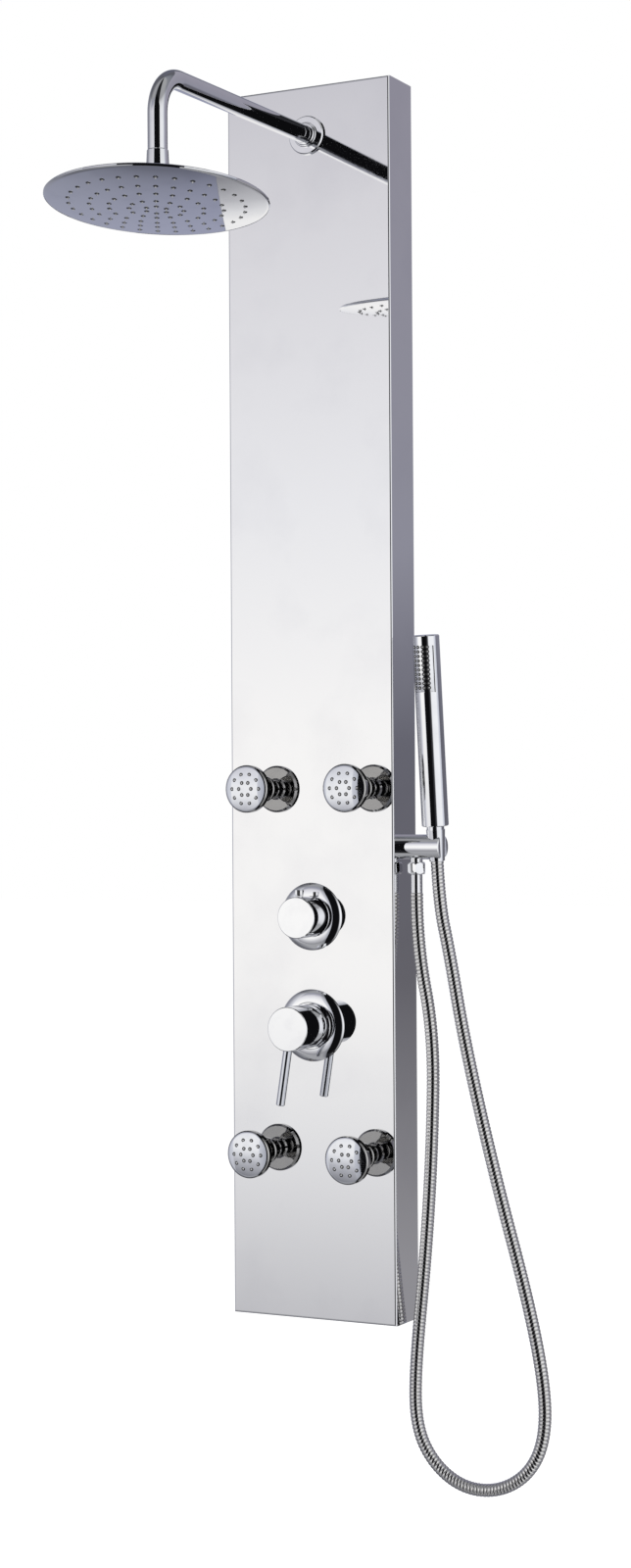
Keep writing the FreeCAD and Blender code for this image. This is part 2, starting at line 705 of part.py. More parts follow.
def make_mixer_knob():
    rear = mixer_knob_rear
    outer = turned([(0, rear), (mixer_knob_r - 0.8, rear), (mixer_knob_r, rear + 0.8),
                    (mixer_knob_r, mixer_knob_front - 0.8), (mixer_knob_r - 0.8, mixer_knob_front),
                    (0, mixer_knob_front)])
    hollow = rod(mixer_knob_r - mixer_knob_wall, mixer_knob_front - rear - mixer_knob_wall, vec(0, 0, rear))
    tongue = box(-4.7, 4.7, -4.5, 4.5, mixer_pivot_out, mixer_knob_front - mixer_knob_wall)
    tongue = tongue.fuse(rod(4.5, 9.4, vec(-4.7, 0, mixer_pivot_out), x_axis))
    pin_hole = rod(mixer_pin_r + fit_gap, 20.0, vec(-10.0, 0, mixer_pivot_out), x_axis)
    lever_hole = rod(lever_r + fit_gap, mixer_knob_wall + 2.0, vec(0, -mixer_knob_r - 1.0, lever_out), y_axis)
    knob = outer.cut(hollow).fuse(tongue).cut(pin_hole).cut(lever_hole)
    return on_front(knob.removeSplitter(), 0, mixer_z, -lever_turn)


def make_mixer_lever():
    """The pin lever, screwed into the side of the handle."""
    start = mixer_knob_r - mixer_knob_wall
    profile = [(0, start), (lever_r, start), (lever_r, lever_reach - 0.7), (lever_r - 0.7, lever_reach),
               (0, lever_reach)]
    lever = placed(turned(profile), vec(0, 0, lever_out), outward)
    return on_front(lever, 0, mixer_z, -lever_turn)


# ---------------------------------------------------------------- holder and hose
def lean_axis():
    lean = math.radians(cradle_lean)
    return vec(0, -math.sin(lean), math.cos(lean))


cradle = vec(half_width + cradle_out, -holder_depth, holder_z)


def on_cradle(shape, turn=0.0):
    """A shape drawn about Z and the cradle's centre, leaned forward with the hand shower."""
    lay = FreeCAD.Placement(cradle, FreeCAD.Rotation(x_axis, cradle_lean))
    spin = FreeCAD.Placement(origin, FreeCAD.Rotation(z_axis, turn))
    moved = shape.copy()
    moved.Placement = lay.multiply(spin).multiply(moved.Placement)
    return moved


def cone_radius(height):
    """The cone nut's radius at a height above the cradle's centre."""
    share = (height + cone_below) / (cone_above + cone_below)
    return cone_bottom_r + (cone_top_r - cone_bottom_r) * share


def make_holder():
    bar = turned([(0, 0), (holder_r, 0), (holder_r, holder_length - 1.0), (holder_r - 1.0, holder_length),
                  (0, holder_length)])
    bar = placed(bar, vec(half_width, -holder_depth, holder_z), x_axis)
    inside = vec(half_width - nipple_length, -holder_depth, holder_z)
    nipple = rod(port_r, nipple_length, inside, x_axis)
    stub_length = holder_r + stub_drop
    outlet = vec(half_width + outlet_out, -holder_depth, holder_z)
    stub = rod(stub_r, stub_length, outlet, vec(0, 0, -1))
    tail = rod(tail_r, stub_length + tail_length, outlet, vec(0, 0, -1))
    body = bar.fuse([nipple, stub, tail])
    way = rod(3.6, nipple_length + outlet_out, inside, x_axis)
    socket = rod(hand_pipe_r + fit_gap, pipe_socket, inside, x_axis)
    down = rod(3.6, stub_length + tail_length, outlet, vec(0, 0, -1))
    reach = holder_r + 4.0
    low, high = cone_radius(-reach) + cone_gap, cone_radius(reach) + cone_gap
    bore = on_cradle(Part.makeCone(low, high, 2 * reach, vec(0, 0, -reach)))
    slot = on_cradle(box(0, 2 * holder_r, -cradle_slot / 2, cradle_slot / 2, -reach, reach))
    return body.cut([way, socket, down, bore, slot]).removeSplitter()


def make_holder_nut():
    nut = hex_prism(holder_nut_flats, holder_nut_height, 0).cut(rod(port_r + fit_gap, holder_nut_height))
    return placed(nut, vec(half_width - sheet, -holder_depth, holder_z), vec(-1, 0, 0))


def make_hose_nut():
    """The hexagon nut of the hose on the outlet, over the outlet's tail."""
    top = holder_z - holder_r - stub_drop
    nut = hex_prism(hose_nut_flats, hose_nut_height, -hose_nut_height)
    nut = nut.cut(rod(tail_r + fit_gap, tail_length + fit_gap, vec(0, 0, -tail_length - fit_gap)))
    nut = nut.cut(rod(hose_bore_r, hose_nut_height, vec(0, 0, -hose_nut_height)))
    return placed(nut, vec(half_width + outlet_out, -holder_depth, top), z_axis, 17)


def make_lower_ferrule():
    top = holder_z - holder_r - stub_drop - hose_nut_height
    ferrule = turned([(hose_bore_r, 0), (ferrule_r - 0.4, 0), (ferrule_r, -0.6), (ferrule_r, -ferrule_length),
                      (hose_bore_r, -ferrule_length)])
    return placed(ferrule, vec(half_width + outlet_out, -holder_depth, top))


def make_cone_nut():
    """The conical nut that rests in the cradle, with the hand shower's thread in its top."""
    cone = turned([(0, -cone_below), (cone_bottom_r, -cone_below), (cone_top_r, cone_above), (0, cone_above)])
    thread = rod(handset_neck_r + fit_gap, 12.0, vec(0, 0, cone_above - 12.0))
    swivel = rod(ferrule_r + fit_gap, 14.0 + ball_gap, vec(0, 0, -cone_below))
    way = rod(hose_bore_r, cone_above + cone_below, vec(0, 0, -cone_below))
    return on_cradle(cone.cut([thread, swivel, way]).removeSplitter())


def make_upper_ferrule():
    ferrule = pipe(ferrule_r, hose_bore_r, 14.0, vec(0, 0, -cone_below))
    return on_cradle(ferrule)


def make_hose():
    """The interlocked hose: turned ribs along straight runs and tangent arcs, round an open bore."""
    path, radii = rounded_path(hose_route)
    print("hose arcs, mm:", " ".join("%.0f" % radius for radius in radii))
    length = path.Length
    straight = 2 * hose_r
    pitch = (length - 2 * straight) / hose_ribs

    def ring(distance, radius):
        edge, into = edge_at(path, distance)
        place = edge.valueAt(into)
        heading = edge.tangentAt(into)
        side = x_like(heading)
        frame = FreeCAD.Matrix(side.x, heading.cross(side).x, heading.x, place.x,
                               side.y, heading.cross(side).y, heading.y, place.y,
                               side.z, heading.cross(side).z, heading.z, place.z, 0, 0, 0, 1)
        circle = Part.Wire(Part.Circle(origin, z_axis, radius).toShape())
        circle.Placement = FreeCAD.Placement(frame)
        return circle

    outer = [ring(0, hose_r)]
    inner = [ring(0, hose_bore_r)]
    for rib in range(hose_ribs):
        start = straight + rib * pitch
        outer += [ring(start, hose_r), ring(start + 0.5 * pitch, hose_r),
                  ring(start + 0.72 * pitch, hose_r - hose_groove), ring(start + 0.86 * pitch, hose_r - hose_groove)]
        inner.append(ring(start, hose_bore_r))
    outer += [ring(length - straight, hose_r), ring(length, hose_r)]
    inner += [ring(length - straight, hose_bore_r), ring(length, hose_bore_r)]
    skin = Part.makeLoft(outer, True, True)
    bore = Part.makeLoft(inner, True, True)
    hose = skin.cut(bore)
    section = math.pi * (hose_r ** 2 - hose_bore_r ** 2)
    print("hose length %.0f mm, volume over section times length %.3f" % (length, hose.Volume / section / length))
    return hose


def edge_at(path, distance):
    """The path's edge at a distance along it, and its own parameter there."""
    for edge in path.OrderedEdges:
        if distance <= edge.Length + 1e-6:
            return edge, edge.getParameterByLength(min(distance, edge.Length))
        distance -= edge.Length
    return edge, edge.LastParameter


def x_like(heading):
    """The direction square to the heading that is nearest to the outward one, so that no ring turns."""
    across = outward - heading * outward.dot(heading)
    return across.normalize()


# ---------------------------------------------------------------- hand shower
def make_handset_neck():
    """The threaded tail of the hand shower with its collar ring."""
    bottom = cone_above - neck_thread
    top = handset_bottom + neck_plug
    neck = turned([(0, bottom), (handset_neck_r, bottom), (handset_neck_r, cone_above),
                   (neck_collar_r, cone_above), (neck_collar_r, handset_bottom),
                   (handset_neck_r, handset_bottom), (handset_neck_r, top), (0, top)])
    return on_cradle(neck.cut(rod(neck_bore_r, top - bottom, vec(0, 0, bottom))))


def spray_window(radius, depth, low, high):
    """The sector of the barrel that the spray plate fills, facing out of the panel."""
    ring = rod(radius, high - low, vec(0, 0, low)).cut(rod(radius - depth, high - low, vec(0, 0, low)))
    half = math.radians(spray_half_angle)
    far = 3 * radius
    wedge = Part.makePolygon([vec(0, 0, low), vec(-far * math.sin(half), -far * math.cos(half), low),
                              vec(0, -2 * far, low), vec(far * math.sin(half), -far * math.cos(half), low),
                              vec(0, 0, low)])
    return ring.common(Part.Face(wedge).extrude(vec(0, 0, high - low)))


def make_handset_body():
    top = handset_bottom + handset_length - handset_cap
    bore_r = handset_r - handset_wall
    body = turned([(0, handset_bottom), (handset_r - 0.8, handset_bottom), (handset_r, handset_bottom + 0.8),
                   (handset_r, top), (0, top)])
    bore = rod(bore_r, handset_length, vec(0, 0, handset_bottom + neck_plug))
    neck = rod(handset_neck_r + fit_gap, neck_plug, vec(0, 0, handset_bottom))
    window = spray_window(handset_r + 1.0, spray_depth + 1.0, handset_bottom + spray_bottom - fit_gap,
                          handset_bottom + spray_top + fit_gap)
    return on_cradle(body.cut([bore, neck, window]).removeSplitter())


def make_handset_cap():
    low = handset_bottom + handset_length - handset_cap
    top = low + handset_cap
    plug_r = handset_r - handset_wall - fit_gap
    cap = turned([(0, low - 3.0), (plug_r, low - 3.0), (plug_r, low), (handset_r, low), (handset_r, top - 1.0),
                  (handset_r - 1.0, top), (0, top)])
    return on_cradle(cap)


def spray_places():
    step = 2 * spray_half_angle / (spray_columns + 1)
    pitch = (spray_top - spray_bottom) / spray_rows
    for column in range(spray_columns):
        angle = -spray_half_angle + step * (column + 1)
        for row in range(spray_rows):
            yield angle, handset_bottom + spray_bottom + pitch * (row + 0.5)


def make_handset_face():
    plate = spray_window(handset_r - 0.2, spray_depth - 0.2 - fit_gap, handset_bottom + spray_bottom,
                         handset_bottom + spray_top)
    return on_cradle(plate)


def make_handset_nozzles():
    nub = placed(pip(1.1, 0.7, 0, 0, handset_r - 0.2), origin, outward)
    return [on_cradle(placed(nub, vec(0, 0, height), z_axis, angle)) for angle, height in spray_places()]


# ---------------------------------------------------------------- inside pipes
def make_riser():
    low = diverter_z + valve_r + fit_gap
    high = arm_z - arm_r - 3.0
    return pipe(pipe_r, pipe_bore_r, high - low, vec(0, pipe_y, low))


def make_link_pipe():
    low = mixer_z + mixer_valve_r + fit_gap
    high = diverter_z - valve_r - fit_gap
    return pipe(pipe_r, pipe_bore_r, high - low, vec(0, pipe_y, low))


def make_jet_pipes():
    """Pipes between the upper and lower tees, the feed from the diverter and the link across the bottom."""
    column = jet_spacing / 2
    upper, lower = [panel_top - below for below in jets_below_top]
    inset = tee_reach - pipe_socket
    low = lower + inset
    high = upper - inset
    left = pipe(pipe_r, pipe_bore_r, high - low, vec(-column, pipe_y, low))
    feed = rod(pipe_r, column - valve_r - fit_gap, vec(-column, pipe_y, diverter_z), x_axis)
    feed_way = rod(pipe_bore_r, column - valve_r, vec(-column, pipe_y, diverter_z), x_axis)
    left = left.fuse(feed).cut(feed_way).cut(rod(pipe_bore_r, high - low, vec(-column, pipe_y, low)))
    right = pipe(pipe_r, pipe_bore_r, high - low, vec(column, pipe_y, low))
    bottom = lower - tee_reach - bottom_pipe_drop
    start = lower - inset
    across = bent_pipe([(-column, pipe_y, start), (-column, pipe_y, bottom), (column, pipe_y, bottom),
                         (column, pipe_y, start)], pipe_r, pipe_bore_r, pipe_bend)
    return left.removeSplitter(), right, across


def make_hand_pipe():
    """The feed of the hand shower, which passes behind the right-hand jet pipe."""
    behind = -hand_pipe_wall_gap
    start_x = valve_r + fit_gap
    turn_x = valve_r + pipe_socket + hand_pipe_bend + 1.0
    rise_x = half_width - nipple_length - hand_pipe_bend + 1.0
    route = [(start_x, pipe_y, diverter_z), (turn_x, pipe_y, diverter_z), (turn_x, behind, diverter_z),
             (rise_x, behind, diverter_z), (rise_x, behind, holder_z), (rise_x, -holder_depth, holder_z),
             (half_width - nipple_length + pipe_socket - fit_gap, -holder_depth, holder_z)]
    return bent_pipe(route, hand_pipe_r, hand_pipe_bore_r, hand_pipe_bend)


os.makedirs("parts", exist_ok=True)

export("front_tray", make_tray())
export("wall_brackets", make_bracket(0), make_bracket(-bracket_spacing))
export("hanger_bars", make_hanger_bar(0), make_hanger_bar(-bracket_spacing))
export("shower_arm", make_arm())
export("arm_flange", make_arm_flange())
export("arm_lock_nut", make_arm_nut())
export("arm_elbow", make_arm_elbow())

head_centre = vec(0, arm_drop_y, head_ball_z)
head_axis = vec(0, math.sin(math.radians(head_tilt)), math.cos(math.radians(head_tilt)))
export("swivel_collar", placed(make_head_collar(), head_centre))
export("head_seat_ring", placed(ball_ring(seat_outer, seat_inner, -8.0, -4.2), head_centre, head_axis))
export("head_seal_ring", placed(ball_ring(seat_outer, seat_inner, -1.6, 0.2), head_centre, head_axis))
export("head_shell", placed(make_head_shell(), head_centre, head_axis))
export("head_socket_nut", placed(make_socket_nut(), head_centre, head_axis))
export("head_face", placed(make_head_face(), head_centre, head_axis))
export("head_nozzles", *[placed(nozzle, head_centre, head_axis) for nozzle in make_head_nozzles()])

jet_seat = ball_ring(jet_seat_outer, jet_seat_inner, 2.3, 6.0)
jet_centre_shift = FreeCAD.Vector(0, 0, jet_ball_out)
for number, (x, z) in enumerate(jet_places(), start=1):
    export("jet_%d_base" % number, on_front(make_jet_base(), x, z))
    export("jet_%d_seat" % number, on_front(jet_seat.translated(jet_centre_shift), x, z))
    export("jet_%d_head" % number, on_front(make_jet_head().translated(jet_centre_shift), x, z))
    export("jet_%d_face" % number, on_front(make_jet_face().translated(jet_centre_shift), x, z))
export("jet_lock_nuts", *[on_front(make_jet_nut(), x, z) for x, z in jet_places()])
export("jet_tees", *[on_front(make_jet_tee(), x, z) for x, z in jet_places()])

export("diverter_plate", make_diverter_plate())
export("diverter_valve", make_diverter_valve())
export("diverter_spindle", make_diverter_spindle())
export("diverter_knob", make_diverter_knob())

export("mixer_plate", make_mixer_plate())
export("mixer_collar", make_mixer_collar())
export("mixer_valve", make_mixer_valve())
export("mixer_spindle", make_mixer_spindle())
export("mixer_knob", make_mixer_knob())
export("mixer_lever", make_mixer_lever())

export("riser_pipe", make_riser())
export("link_pipe", make_link_pipe())
export("jet_pipes", *make_jet_pipes())
export("hand_shower_pipe", make_hand_pipe())

export("holder_bar", make_holder())
export("holder_lock_nut", make_holder_nut())
export("hose_hex_nut", make_hose_nut())
export("hose_lower_ferrule", make_lower_ferrule())
export("shower_hose", make_hose())
export("hose_upper_ferrule", make_upper_ferrule())
export("hose_cone_nut", make_cone_nut())
export("handset_neck", make_handset_neck())
export("handset_body", make_handset_body())
export("handset_cap", make_handset_cap())
export("handset_face", make_handset_face())
export("handset_nozzles", *make_handset_nozzles())
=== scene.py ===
"""Finishes, sprays, hose and studio for a wall-hung shower panel column."""
import json
import math

import bmesh
import bpy
from bpy.props import FloatProperty, FloatVectorProperty, PointerProperty
from mathutils import Matrix, Vector

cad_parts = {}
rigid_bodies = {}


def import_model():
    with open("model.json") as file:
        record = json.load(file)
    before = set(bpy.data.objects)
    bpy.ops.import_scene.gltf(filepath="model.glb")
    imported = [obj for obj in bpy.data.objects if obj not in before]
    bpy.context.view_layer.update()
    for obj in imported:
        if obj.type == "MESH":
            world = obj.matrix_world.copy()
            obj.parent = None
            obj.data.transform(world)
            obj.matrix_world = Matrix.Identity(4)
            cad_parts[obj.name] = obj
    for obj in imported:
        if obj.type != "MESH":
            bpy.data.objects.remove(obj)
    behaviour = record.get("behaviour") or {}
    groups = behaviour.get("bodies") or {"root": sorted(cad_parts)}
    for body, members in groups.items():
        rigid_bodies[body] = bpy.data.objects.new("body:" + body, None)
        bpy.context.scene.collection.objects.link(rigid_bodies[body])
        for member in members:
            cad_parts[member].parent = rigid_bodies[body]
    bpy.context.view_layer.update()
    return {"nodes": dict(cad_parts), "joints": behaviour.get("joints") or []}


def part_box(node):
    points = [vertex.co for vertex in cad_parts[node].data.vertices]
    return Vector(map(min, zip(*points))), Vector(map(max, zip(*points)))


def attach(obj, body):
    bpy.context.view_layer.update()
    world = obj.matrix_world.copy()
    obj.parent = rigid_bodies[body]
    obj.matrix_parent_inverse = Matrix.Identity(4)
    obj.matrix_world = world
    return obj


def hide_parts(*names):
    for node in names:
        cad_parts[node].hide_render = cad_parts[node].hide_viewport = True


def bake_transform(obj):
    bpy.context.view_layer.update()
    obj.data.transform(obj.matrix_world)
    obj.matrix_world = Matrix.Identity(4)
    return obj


bl_info = {
    "name": "Shower Panel Dresser",
    "version": (1, 0, 0),
    "blender": (4, 5, 0),
    "location": "View3D > Sidebar > Shower panel",
    "description": "Adds the finishes, spray faces, hose and studio of a shower panel column",
    "category": "Object",
}

for leftover in list(bpy.data.objects):
    bpy.data.objects.remove(leftover, do_unlink=True)

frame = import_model()
nodes = frame["nodes"]
joints = {joint["name"]: joint for joint in frame["joints"]}


def joint_centre(name):
    return Vector(joints[name]["pos_m"])


def joint_axis(name):
    return Vector(joints[name]["axis"]).normalized()


# Helpers take millimetres, and this turns them into the scene's metres.
MM = 0.001
ball_centre = joint_centre("head_tilt_front")
head_axis = joint_axis("head_spin")
cradle_centre = joint_centre("handset_spin")
cradle_axis = joint_axis("handset_spin")
panel_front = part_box("front_tray")[0].y

# The hose's route from the ferrule under the outlet to the cone nut, in metres.
hose_route = [
    (0.1140, -0.0275, -0.7737),
    (0.1140, -0.0275, -0.8300),
    (0.1325, -0.0255, -0.9260),
    (0.1295, -0.0240, -1.0400),
    (0.1205, -0.0225, -1.1620),
    (0.1060, -0.0215, -1.2880),
    (0.1060, -0.0210, -1.3520),
    (0.1260, -0.0205, -1.3910),
    (0.1610, -0.0205, -1.4140),
    (0.2020, -0.0200, -1.4140),
    (0.2370, -0.0200, -1.3930),
    (0.2560, -0.0195, -1.3570),
    (0.2580, -0.0195, -1.3030),
    (0.2400, -0.0190, -1.2130),
    (0.2000, -0.0185, -1.0750),
    (0.1655, -0.0180, -0.9350),
    (0.1482, -0.0180, -0.8380),
    (0.1380, -0.02088, -0.7870),
    (0.1380, -0.025932, -0.738918),
]


# ---------------------------------------------------------------- sizes and colours
def length_setting(name, description, default):
    return FloatProperty(name=name, description=description, default=default, unit="LENGTH")


def colour_setting(name, description, default):
    return FloatVectorProperty(name=name, description=description, default=default, subtype="COLOR")


class ShowerSizes(bpy.types.PropertyGroup):
    hose_diameter: length_setting("Hose diameter", "Outside of the metal hose", 0.014)
    hose_length: length_setting("Hose length", "Free length of the hose between its ferrules", 1.414)
    rib_pitch: length_setting("Rib pitch", "Distance from one rib of the hose to the next", 0.0040)
    rib_depth: length_setting("Rib depth", "Depth of the grooves between the ribs", 0.0007)
    # The rain nozzles' black rings, which paint the shade round each nozzle, take this radius.
    rain_shade_ring_radius: length_setting("Rain nozzle radius", "Foot of one soft nozzle of the rain head", 0.0028)
    nozzle_height: length_setting("Rain nozzle height", "How far a rain nozzle stands out", 0.0016)
    floor_drop: length_setting("Floor drop", "Floor below the upper wall screws", 1.62)
    lens: FloatProperty(
        name="Lens", description="Focal length of the studio camera in millimetres", default=62.44)


class ShowerColours(bpy.types.PropertyGroup):
    mirror_steel: colour_setting("Polished sheet", "Mirror-polished stainless sheet", (0.88, 0.88, 0.885))
    chrome: colour_setting("Chrome", "Chrome plate on the fittings", (0.91, 0.915, 0.925))
    # Painted shade: the jets' chrome is made about half as bright as the other chrome, to darken the jets and
    # their mirror images in the panel.
    jet_chrome: colour_setting("Jet chrome", "Darker chrome plate on the body jets", (0.44, 0.435, 0.425))
    spray_chrome: colour_setting(
        "Spray chrome", "Chrome plate on the jets' faces and on the lever", (0.78, 0.795, 0.83))
    hose_steel: colour_setting("Hose steel", "Interlocked strip of the hose", (0.80, 0.79, 0.77))
    plain_steel: colour_setting("Plain steel", "Brackets and hanger bars", (0.60, 0.60, 0.61))
    brass: colour_setting("Brass", "Valve bodies, tees and lock nuts", (0.78, 0.62, 0.34))
    copper: colour_setting("Copper", "Pipes inside the tray", (0.80, 0.46, 0.32))
    nozzle: colour_setting("Nozzle", "Tips of the soft nozzles", (0.45, 0.45, 0.46))
    white_plastic: colour_setting("Seat rings", "Moulded seat rings of the ball joints", (0.85, 0.85, 0.83))
    # This black is real rubber on the seal and the inlays, and painted shade on the rings that the nozzles
    # sit in.
    seal: colour_setting("Seal", "Rubber seal, nozzle wells and inlays", (0.03, 0.03, 0.03))


def sizes():
    return bpy.context.scene.shower_sizes


def colours():
    return bpy.context.scene.shower_colours


# ---------------------------------------------------------------- finishes
def add_span(tree, value, low, high):
    """Where a value lies between two others, from 0 to 1."""
    span = tree.nodes.new("ShaderNodeMapRange")
    span.inputs["From Min"].default_value = low
    span.inputs["From Max"].default_value = high
    tree.links.new(value, span.inputs["Value"])
    return span.outputs["Result"]


def add_math(tree, operation, *values):
    """The result of an operation on values, each of them a number or another node's socket."""
    node = tree.nodes.new("ShaderNodeMath")
    node.operation = operation
    for socket, value in zip(node.inputs, values):
        if isinstance(value, float):
            socket.default_value = value
        else:
            tree.links.new(value, socket)
    return node.outputs["Value"]


def new_group(name, inputs, outputs):
    """An empty node group with named sockets, and its two end nodes."""
    group = bpy.data.node_groups.new(name, "ShaderNodeTree")
    for socket_name, kind, default in inputs:
        socket = group.interface.new_socket(name=socket_name, in_out="INPUT", socket_type=kind)
        socket.default_value = default
    for socket_name, kind in outputs:
        group.interface.new_socket(name=socket_name, in_out="OUTPUT", socket_type=kind)
    return group, group.nodes.new("NodeGroupInput"), group.nodes.new("NodeGroupOutput")


def handling_marks():
    """Faint smudges and polish marks: a colour that dips slightly and a roughness that rises in patches."""
    name = "Handling marks"
    if name in bpy.data.node_groups:
        return bpy.data.node_groups[name]
    group, given, result = new_group(
        name,
        [("Colour", "NodeSocketColor", (0.8, 0.8, 0.8, 1)), ("Scale", "NodeSocketFloat", 20.0),
         ("Roughness", "NodeSocketFloat", 0.04), ("Smudge", "NodeSocketFloat", 0.04)],
        [("Colour", "NodeSocketColor"), ("Roughness", "NodeSocketFloat")])
    link = group.links.new
    position = group.nodes.new("ShaderNodeTexCoord")
    noise = group.nodes.new("ShaderNodeTexNoise")
    noise.inputs["Detail"].default_value = 5.0
    link(position.outputs["Object"], noise.inputs["Vector"])
    link(given.outputs["Scale"], noise.inputs["Scale"])
    patch = add_span(group, noise.outputs["Fac"], low=0.48, high=0.75)
    rough = add_math(group, "MULTIPLY_ADD", patch, given.outputs["Smudge"], given.outputs["Roughness"])
    link(rough, result.inputs["Roughness"])
    dip = group.nodes.new("ShaderNodeMix")
    dip.data_type = "RGBA"
    dip.blend_type = "MULTIPLY"
    dip.inputs["B"].default_value = (0.93, 0.93, 0.94, 1)
    link(patch, dip.inputs["Factor"])
    link(given.outputs["Colour"], dip.inputs["A"])
    link(dip.outputs["Result"], result.inputs["Colour"])
    return group


def surface_relief():
    """A bump from one noise, for the slow ripple of rolled sheet or the grain of a casting."""
    name = "Surface relief"
    if name in bpy.data.node_groups:
        return bpy.data.node_groups[name]
    group, given, result = new_group(
        name,
        [("Scale", "NodeSocketFloat", 10.0), ("Height", "NodeSocketFloat", 0.1),
         ("Stretch", "NodeSocketVector", (1.0, 1.0, 1.0))],
        [("Normal", "NodeSocketVector")])
    link = group.links.new
    position = group.nodes.new("ShaderNodeTexCoord")
    stretch = group.nodes.new("ShaderNodeVectorMath")
    stretch.operation = "MULTIPLY"
    link(position.outputs["Object"], stretch.inputs[0])
    link(given.outputs["Stretch"], stretch.inputs[1])
    noise = group.nodes.new("ShaderNodeTexNoise")
    noise.inputs["Detail"].default_value = 2.0
    link(stretch.outputs["Vector"], noise.inputs["Vector"])
    link(given.outputs["Scale"], noise.inputs["Scale"])
    bump = group.nodes.new("ShaderNodeBump")
    bump.inputs["Distance"].default_value = MM
    link(given.outputs["Height"], bump.inputs["Strength"])
    link(noise.outputs["Fac"], bump.inputs["Height"])
    link(bump.outputs["Normal"], result.inputs["Normal"])
    return group


def finish_of(name, colour, roughness, smudge, scale, metallic=1.0, relief=0.0, relief_scale=10.0,
              stretch=(1.0, 1.0, 1.0)):
    """One finish: the shader with its own colour, its handling marks and, where it has one, its relief."""
    if name in bpy.data.materials:
        return bpy.data.materials[name]
    material = bpy.data.materials.new(name)
    material.use_nodes = True
    tree = material.node_tree
    shader = tree.nodes["Principled BSDF"]
    shader.inputs["Metallic"].default_value = metallic
    marks = tree.nodes.new("ShaderNodeGroup")
    marks.node_tree = handling_marks()
    marks.inputs["Colour"].default_value = (*colour, 1)
    marks.inputs["Scale"].default_value = scale
    marks.inputs["Roughness"].default_value = roughness
    marks.inputs["Smudge"].default_value = smudge
    tree.links.new(marks.outputs["Colour"], shader.inputs["Base Color"])
    tree.links.new(marks.outputs["Roughness"], shader.inputs["Roughness"])
    if relief:
        ripple = tree.nodes.new("ShaderNodeGroup")
        ripple.node_tree = surface_relief()
        ripple.inputs["Scale"].default_value = relief_scale
        ripple.inputs["Height"].default_value = relief
        ripple.inputs["Stretch"].default_value = stretch
        tree.links.new(ripple.outputs["Normal"], shader.inputs["Normal"])
    return material


def mirror_finish():
    return finish_of("polished sheet", colours().mirror_steel, roughness=0.02, smudge=0.03, scale=9.0,
                     relief=0.01, relief_scale=3.0, stretch=(1.0, 1.0, 0.3))


def chrome_finish():
    return finish_of("chrome plate", colours().chrome, roughness=0.02, smudge=0.03, scale=45.0)


def jet_painted_shade_finish():
    # Painted shade: chrome darkened to about half its brightness.
    return finish_of("jet chrome darkened as painted shade", colours().jet_chrome, roughness=0.03, smudge=0.05, scale=60.0)


def spray_plate_finish():
    return finish_of("spray plate chrome", colours().spray_chrome, roughness=0.04, smudge=0.06, scale=90.0,
                     relief=0.003, relief_scale=500.0)


def hose_finish():
    return finish_of("interlocked strip", colours().hose_steel, roughness=0.10, smudge=0.10, scale=120.0)


def plain_steel_finish():
    return finish_of("mill steel", colours().plain_steel, roughness=0.32, smudge=0.15, scale=60.0,
                     relief=0.15, relief_scale=400.0, stretch=(1.0, 1.0, 0.05))


def brass_finish():
    return finish_of("machined brass", colours().brass, roughness=0.25, smudge=0.20, scale=90.0,
                     relief=0.2, relief_scale=600.0)


def copper_finish():
    return finish_of("drawn copper", colours().copper, roughness=0.22, smudge=0.25, scale=70.0,
                     relief=0.1, relief_scale=500.0, stretch=(1.0, 1.0, 0.05))


def nozzle_finish():
    return finish_of("soft nozzle", colours().nozzle, roughness=0.45, smudge=0.15, scale=300.0, metallic=0.0)


def seat_finish():
    return finish_of("moulded seat", colours().white_plastic, roughness=0.4, smudge=0.15, scale=200.0,
                     metallic=0.0, relief=0.1, relief_scale=700.0)


def seal_and_shade_finish():
    # Real rubber for the seal and the inlays; on the nozzles' rings the same black is painted shade.
    return finish_of("rubber seal and painted shade", colours().seal, roughness=0.55, smudge=0.2, scale=200.0,
                     metallic=0.0, relief=0.1, relief_scale=700.0)


def dress(names, material):
    for name in names:
        data = nodes[name].data
        data.materials.clear()
        data.materials.append(material)


def dress_in_front(names, material):
    """Gives a second finish to the faces that reach out of the panel, where a piece passes through it."""
    clear_of_front = 0.1 * MM
    for name in names:
        data = nodes[name].data
        data.materials.append(material)
        for face in data.polygons:
            reach = min(data.vertices[number].co.y for number in face.vertices)
            face.material_index = int(reach < panel_front - clear_of_front)


# ---------------------------------------------------------------- modelling helpers
def deselect_all():
    if bpy.context.mode != "OBJECT":
        bpy.ops.object.mode_set(mode="OBJECT")
    bpy.ops.object.select_all(action="DESELECT")


def only(piece):
    deselect_all()
    piece.select_set(True)
    bpy.context.view_layer.objects.active = piece


def joined(pieces):
    """Joins the pieces into the first of them."""
    deselect_all()
    for piece in pieces:
        piece.select_set(True)
    bpy.context.view_layer.objects.active = pieces[0]
    bpy.ops.object.join()
    return pieces[0]


def frame_on_front(centre):
    """The placement at a centre's X and Z whose local Z points out of the panel's face and local Y up."""
    return Matrix.Translation((centre.x, panel_front, centre.z)) @ Matrix.Rotation(math.pi / 2, 4, "X")


def frame_on_cradle():
    """The placement of the hand shower: local Z up along its barrel, local Y towards the wall."""
    return Matrix.Translation(cradle_centre) @ Matrix.Rotation(math.asin(-cradle_axis.y), 4, "X")


